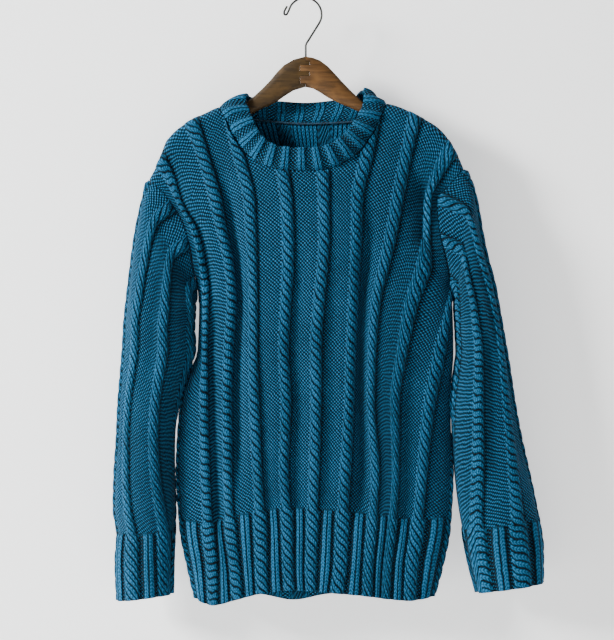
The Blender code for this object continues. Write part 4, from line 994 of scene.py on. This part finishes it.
def neckband(rows, per_stitch):
    """The ribbed band as one closed wall."""
    points, normals, ups = neck_loop()
    closed = np.concatenate([points, points[:1]])
    length = travelled(closed)
    count = BAND_RIBS * 4 * per_stitch
    share = np.arange(count) / count

    def round_loop(values):
        shut = np.concatenate([values, values[:1]])
        return np.stack([np.interp(share * length[-1], length, shut[:, k]) for k in range(3)], axis=-1)

    foot_normal = unit(round_loop(normals))
    foot = round_loop(points) + round_loop(ups) * (SEAM_GAP + 0.4)
    crest, edge = (np.stack([round_table(share, first), round_table(share, first + 1),
                             -round_table(share, first + 2)], axis=-1) for first in (1, 4))
    steps = np.linspace(0, 1, rows + 1)
    middle = np.stack([foot * (1 - t) ** 2 + crest * 2 * t * (1 - t) + edge * t * t for t in steps], axis=1)
    over = np.roll(middle, -1, axis=0) - np.roll(middle, 1, axis=0)
    normal = unit(np.cross(over, np.gradient(middle, axis=1)))
    if (normal[:, 1] * foot_normal).sum() < 0:
        normal = -normal
    at_foot = smooth(1 - steps / 0.25)[None, :, None]
    normal = unit(normal * (1 - at_foot) + foot_normal[:, None] * at_foot)
    stitch = share * BAND_RIBS * 4
    from_rib = (stitch % 4.0) - 1.0
    rib = np.sqrt(np.clip(1 - (from_rib / 1.25) ** 2, 0, 1))
    height = BAND_RIB_HEIGHT * rib[:, None] * (0.25 + 0.75 * smooth(steps / 0.2))[None, :]
    outer, inner = skins(middle, normal, height)
    way = travelled(middle)
    stitches = np.stack([np.broadcast_to(stitch[:, None], way.shape), way / ROW], axis=-1)
    return wall_piece("neckband_cloth", outer, inner, stitches, True, (BAND_WOOL, BAND_INSIDE))


BAND_ROWS = 16
band = neckband(BAND_ROWS, 5)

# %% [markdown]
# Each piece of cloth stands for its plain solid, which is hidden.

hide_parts("front")
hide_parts("back")
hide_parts("sleeve_left")
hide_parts("sleeve_right")
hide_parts("neckband")

# %% [markdown]
# The hanger is two pieces of old beech joined by fingers under the hook. The frame's two solids already
# have the right shape, so a copy of each is cleaned up: its doubled points are merged, its sharp edges get
# a small round and it is shaded smooth.


# %% Wooden halves
def clean_copy(node, name, round_width):
    """A merged, bevelled and smoothly shaded copy of a frame node."""
    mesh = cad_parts[node].data.copy()
    mesh.materials.clear()
    piece = linked(name, mesh)
    select_only(piece)
    bpy.ops.object.mode_set(mode="EDIT")
    bpy.ops.mesh.select_all(action="SELECT")
    bpy.ops.mesh.remove_doubles(threshold=0.00001)
    bpy.ops.mesh.dissolve_limited(angle_limit=radians(1.0))
    bpy.ops.object.mode_set(mode="OBJECT")
    bevel = piece.modifiers.new("soft edges", "BEVEL")
    bevel.width = round_width
    bevel.segments = 2
    bevel.limit_method = "ANGLE"
    bevel.angle_limit = radians(50)
    bpy.ops.object.modifier_apply(modifier="soft edges")
    bpy.ops.object.shade_smooth_by_angle(angle=radians(45))
    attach(piece, "root")
    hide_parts(node)
    print(name, "faces:", len(piece.data.polygons))
    return piece


# %% [markdown]
# Worn wood: long grain along each arm, darker pores, and rubbed patches where the finish has gone. The
# left half is the greyer of the two.


# %% Wood
GREY_TONES = ((0.062, 0.034, 0.009), (0.018, 0.010, 0.003), (0.088, 0.046, 0.012))
WARM_TONES = ((0.120, 0.054, 0.014), (0.036, 0.017, 0.005), (0.150, 0.068, 0.017))
GLUE_TONES = ((0.010, 0.006, 0.003), (0.004, 0.003, 0.002), (0.014, 0.008, 0.004))
SOFT_EDGE = 0.0003


def wood(name, tones, lean):
    """Old beech of a base, a dark and a light tone, with grain that slopes down by lean radians."""
    base, dark, light = tones
    material, tree, shader = new_material(name, {"Roughness": 0.55, "Specular IOR Level": 0.25})
    place = object_place(tree)
    turn = tree.nodes.new("ShaderNodeMapping")
    feed(turn, {"Vector": place, "Rotation": (0.0, lean, 0.0), "Scale": (0.10, 1.0, 1.0)})
    grain = noise(tree, turn.outputs["Vector"], 260.0, 5.0, 0.65)
    patches = noise(tree, place, 45.0, 3.0)
    mix = tree.nodes.new("ShaderNodeMix")
    mix.data_type = "RGBA"
    feed(mix, {
        "A": colours(tree, grain, (0.30, dark), (0.70, base)),
        "B": (*light, 1.0),
        "Factor": colours(tree, patches, (0.48, (0.0, 0.0, 0.0)), (0.72, (0.8, 0.8, 0.8))),
    })
    feed(shader, {"Base Color": mix.outputs["Result"], "Normal": bumps(tree, grain, 0.35, 0.0006)})
    return material


GREY_WOOD = wood("grey wood", GREY_TONES, -0.62)
WARM_WOOD = wood("warm wood", WARM_TONES, 0.55)
for side, finish, slot in (("left", GREY_WOOD, "wood_dark"), ("right", WARM_WOOD, "wood_warm")):
    half = clean_copy(f"hanger_half_{side}", f"hanger_{side}_wood", SOFT_EDGE)
    half.data.materials.append(finish)

# %% [markdown]
# The hook is one length of black wire, bent round a former, with its free end folded back in a tight
# hairpin. A poly curve with a round bevel is the plainest way to make bent wire.

# %% Hook
WIRE = 2.8
STEM_ACROSS = 2.7
BEND_ACROSS, BEND_DROP = 1.8, 21.0
BEND_RADIUS = 21.2
ARCH_DEGREES = (-33.0, 153.0)
HOOK_STEM = (
    # across, drop
    (STEM_ACROSS, 92.0), (STEM_ACROSS, 75.0), (STEM_ACROSS, 61.5), (3.5, 58.4), (5.2, 55.6), (14.6, 40.6),
)
HOOK_HAIRPIN = (
    (-18.4, 14.5), (-19.6, 17.3), (-20.7, 19.6), (-21.7, 20.9), (-23.1, 21.4), (-24.4, 20.9), (-25.0, 19.6),
    (-24.9, 18.0), (-23.8, 15.2), (-22.3, 12.5), (-20.9, 10.4),
)


def bent_tube(name, line, radius, finish, closed=False):
    """A round tube along a line of points in metres, as a mesh."""
    curve = bpy.data.curves.new(name, "CURVE")
    curve.dimensions = "3D"
    curve.bevel_depth = radius
    curve.bevel_resolution = 5
    curve.use_fill_caps = not closed
    spline = curve.splines.new("POLY")
    spline.points.add(len(line) - 1)
    for point, place in zip(spline.points, line):
        point.co = (*place, 1.0)
    spline.use_cyclic_u = closed
    tube = linked(name, curve)
    select_only(tube)
    bpy.ops.object.convert(target="MESH")
    bpy.ops.object.shade_smooth_by_angle(angle=radians(50))
    tube.data.materials.clear()
    tube.data.materials.append(finish)
    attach(tube, "root")
    print(name, "faces:", len(tube.data.polygons))
    return tube


def hook_wire(finish):
    """The hook along its middle line."""
    arch = [(BEND_ACROSS + BEND_RADIUS * cos(angle), BEND_DROP - BEND_RADIUS * sin(angle))
            for angle in np.radians(np.linspace(*ARCH_DEGREES, 19))]
    points = np.array([*HOOK_STEM, *arch, *HOOK_HAIRPIN])
    length = travelled(points)
    fine = np.unique(np.concatenate([length, np.linspace(0, length[-1], 260)]))
    across, drop = (through(length, points[:, k], fine) for k in range(2))
    line = np.stack([across, 0 * fine, -drop], axis=-1)
    return bent_tube("hanger_wire", placed(line), WIRE / 2 * MM, finish)


def speckled(name, scale, roughness, *stops):
    """Plain stuff whose colour varies a little from speck to speck."""
    material, tree, shader = new_material(name, {"Roughness": roughness})
    feed(shader, {"Base Color": colours(tree, noise(tree, object_place(tree), scale), *stops)})
    return material


lacquer = ((0.0, (0.003, 0.003, 0.0032)), (1.0, (0.012, 0.011, 0.010)))
wire = hook_wire(speckled("black wire", 400.0, 0.35, *lacquer))
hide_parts("hanger_hook")

# %% [markdown]
# Where knitted pieces are sewn together, their edges turn inside and make a soft ridge behind the seam.
# Three closed tubes of yarn stand for these: round the neck and round both armholes. They also keep light
# from shining through the seams. A thin line of dark glue does the same in the wood's finger joint.

# %% Seam ridges and glue
RIDGE_RADIUS = 1.3
RIDGE_BEHIND = 0.35        # air between the cloth's inside and a ridge
FINGER_LINE = (
    # across, drop
    (2.4, 80.5), (7.6, 80.5), (7.6, 86.0), (-4.6, 86.0), (-4.6, 94.2), (7.6, 94.2), (7.6, 100.4),
    (-4.6, 100.4), (-4.6, 110.0), (2.4, 110.0), (2.4, 113.8),
)
GLUE_THICKNESS = 0.22
GLUE_FRONT, GLUE_BACK = -5.0, -1.8


def seam_ridge(name, points, normals, finish):
    """A ridge of yarn behind a closed seam."""
    line = placed(points - unit(normals) * (WALL / 2 + RIDGE_BEHIND + RIDGE_RADIUS))
    ridge = bent_tube(name, line, RIDGE_RADIUS * MM, finish, closed=True)
    return ridge


def glue_line(finish):
    """The glue between the two halves of the hanger."""
    line = np.array(FINGER_LINE)
    step = unit(np.diff(line, axis=0))
    side = np.stack([-step[:, 1], step[:, 0]], axis=-1)
    corner = np.concatenate([side[:1], side[:-1] + side[1:], side[-1:]]) * GLUE_THICKNESS / 2
    outline = np.concatenate([line + corner, (line - corner)[::-1]])
    mesh = bpy.data.meshes.new("hanger_glue")
    block = bmesh.new()
    front_ring = [block.verts.new(placed((x, GLUE_FRONT, -drop))) for x, drop in outline]
    face = block.faces.new(front_ring)
    pushed = bmesh.ops.extrude_face_region(block, geom=[face])
    moved = [v for v in pushed["geom"] if isinstance(v, bmesh.types.BMVert)]
    bmesh.ops.translate(block, verts=moved, vec=Vector((0, (GLUE_BACK - GLUE_FRONT) * MM, 0)))
    bmesh.ops.recalc_face_normals(block, faces=block.faces)
    block.to_mesh(mesh)
    block.free()
    glue = linked("hanger_glue", mesh)
    mesh.materials.append(finish)
    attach(glue, "root")
    return glue


# The seam ridges are real, but their yarn is speckled between the wool's painted shade colour and its middle
# tone, so the seams are painted darker than the wool.
SEAM_YARN = speckled("seam yarn", 420.0, 0.95, (0.35, SHADED_WOOL), (0.60, MID_WOOL))
neck_points, neck_normals, _ = neck_loop()
seam_ridge("neck_seam_ridge", neck_points, neck_normals, SEAM_YARN)
for side, edge_index, outwards in (("left", 0, -1), ("right", -1, 1)):
    ring = armhole_ring(edge_index, outwards)
    seam_ridge(f"armhole_{side}_ridge", ring[:, :3], ring[:, 3:6], SEAM_YARN)
glue_line(wood("dark glue", GLUE_TONES, 0.0))

# %% [markdown]
# The wall is pale plaster close behind the pullover, and takes its soft shadow. Seen from behind it lets
# the view through. A plain pale floor lies well below the hem.

# %% Wall and floor
WALL_BEHIND = 0.050
FLOOR_DEPTH = 1.25


def pale(name, colour, glow):
    """A matt pale surface with a little light of its own."""
    return new_material(name, {
        "Base Color": (*colour, 1.0),
        "Roughness": 0.95,
        "Specular IOR Level": 0.1,
        "Emission Color": (1.0, 1.0, 1.0, 1.0),
        "Emission Strength": glow,
    })


def clear_from_behind(tree, shader):
    """Lets the view through the back of a surface."""
    geometry = tree.nodes.new("ShaderNodeNewGeometry")
    clear = tree.nodes.new("ShaderNodeBsdfTransparent")
    mix = feed(tree.nodes.new("ShaderNodeMixShader"), {"Fac": geometry.outputs["Backfacing"]})
    tree.links.new(shader.outputs["BSDF"], mix.inputs[1])
    tree.links.new(clear.outputs["BSDF"], mix.inputs[2])
    feed(tree.nodes["Material Output"], {"Surface": mix.outputs["Shader"]})


def plane(name, size, location, rotation, material):
    """A square plane of one material."""
    bpy.ops.mesh.primitive_plane_add(size=size, location=location, rotation=rotation)
    surface = bpy.context.active_object
    surface.name = name
    surface.data.materials.append(material)
    return surface


plaster, plaster_tree, plaster_shader = pale("plaster", (0.92, 0.93, 0.93), 0.75)
clear_from_behind(plaster_tree, plaster_shader)
wall = plane("plaster_wall", 6.0, (0.0, WALL_BEHIND, FLOOR_DEPTH), (pi / 2, 0, 0), plaster)
floor_paint = pale("floor paint", (0.72, 0.72, 0.71), 0.3)[0]
floor = plane("pale_floor", 8.0, (0.0, 0.0, -FLOOR_DEPTH), (0, 0, 0), floor_paint)

# %% [markdown]
# The camera looks straight at the wall from a few metres, level with the middle of the pullover. One pixel
# of the picture is 1.27 mm on the cloth, which sets the focal length.

# %% Camera
PIXEL = 1.27
PICTURE = (614, 640)
HOOK_PIXEL = (303.6, -3.95)              # where the tables' starting point lies in the picture
CLOTH_PLANE = -16.0                      # depth at which a pixel measures that
DISTANCE = 2600.0                        # from the camera to that plane
SENSOR = 36.0

right, down = ((PICTURE[k] / 2 - HOOK_PIXEL[k]) * PIXEL for k in range(2))
camera_data = bpy.data.cameras.new("camera")
camera_data.sensor_width = SENSOR
camera_data.lens = SENSOR * DISTANCE / (PICTURE[1] * PIXEL)
camera = linked("camera", camera_data)
camera.location = Vector(placed((right, 0.0, -down))) + Vector((0, (CLOTH_PLANE - DISTANCE) * MM, 0))
camera.rotation_euler = (pi / 2, 0, 0)
bpy.context.scene.camera = camera

# %% [markdown]
# Soft light falls from the upper left, as from a window, with a weaker fill from the other side. It leaves
# a soft shadow to the right of the wool and of the hanger. A third lamp lights the pullover's back, which
# only shows in views from behind.


# %% Light
CHEST = (0.0, 0.0, -0.45)


def soft_light(name, place, size, power):
    """A square lamp aimed at the chest."""
    lamp = bpy.data.lights.new(name, "AREA")
    lamp.size = size
    lamp.energy = power
    light = linked(name, lamp)
    light.location = place
    aim = Vector(CHEST) - Vector(place)
    light.rotation_euler = aim.to_track_quat("-Z", "Y").to_euler()


soft_light("window", (-3.4, -1.75, 1.0), 1.0, 420.0)
soft_light("fill", (1.6, -2.6, -0.2), 2.0, 4.0)
soft_light("behind", (0.6, 1.6, 0.3), 1.5, 20.0)
world = bpy.data.worlds.new("pale room")
bpy.context.scene.world = world
world.use_nodes = True
feed(world.node_tree.nodes["Background"], {"Color": (0.95, 0.97, 1.0, 1.0), "Strength": 0.2})
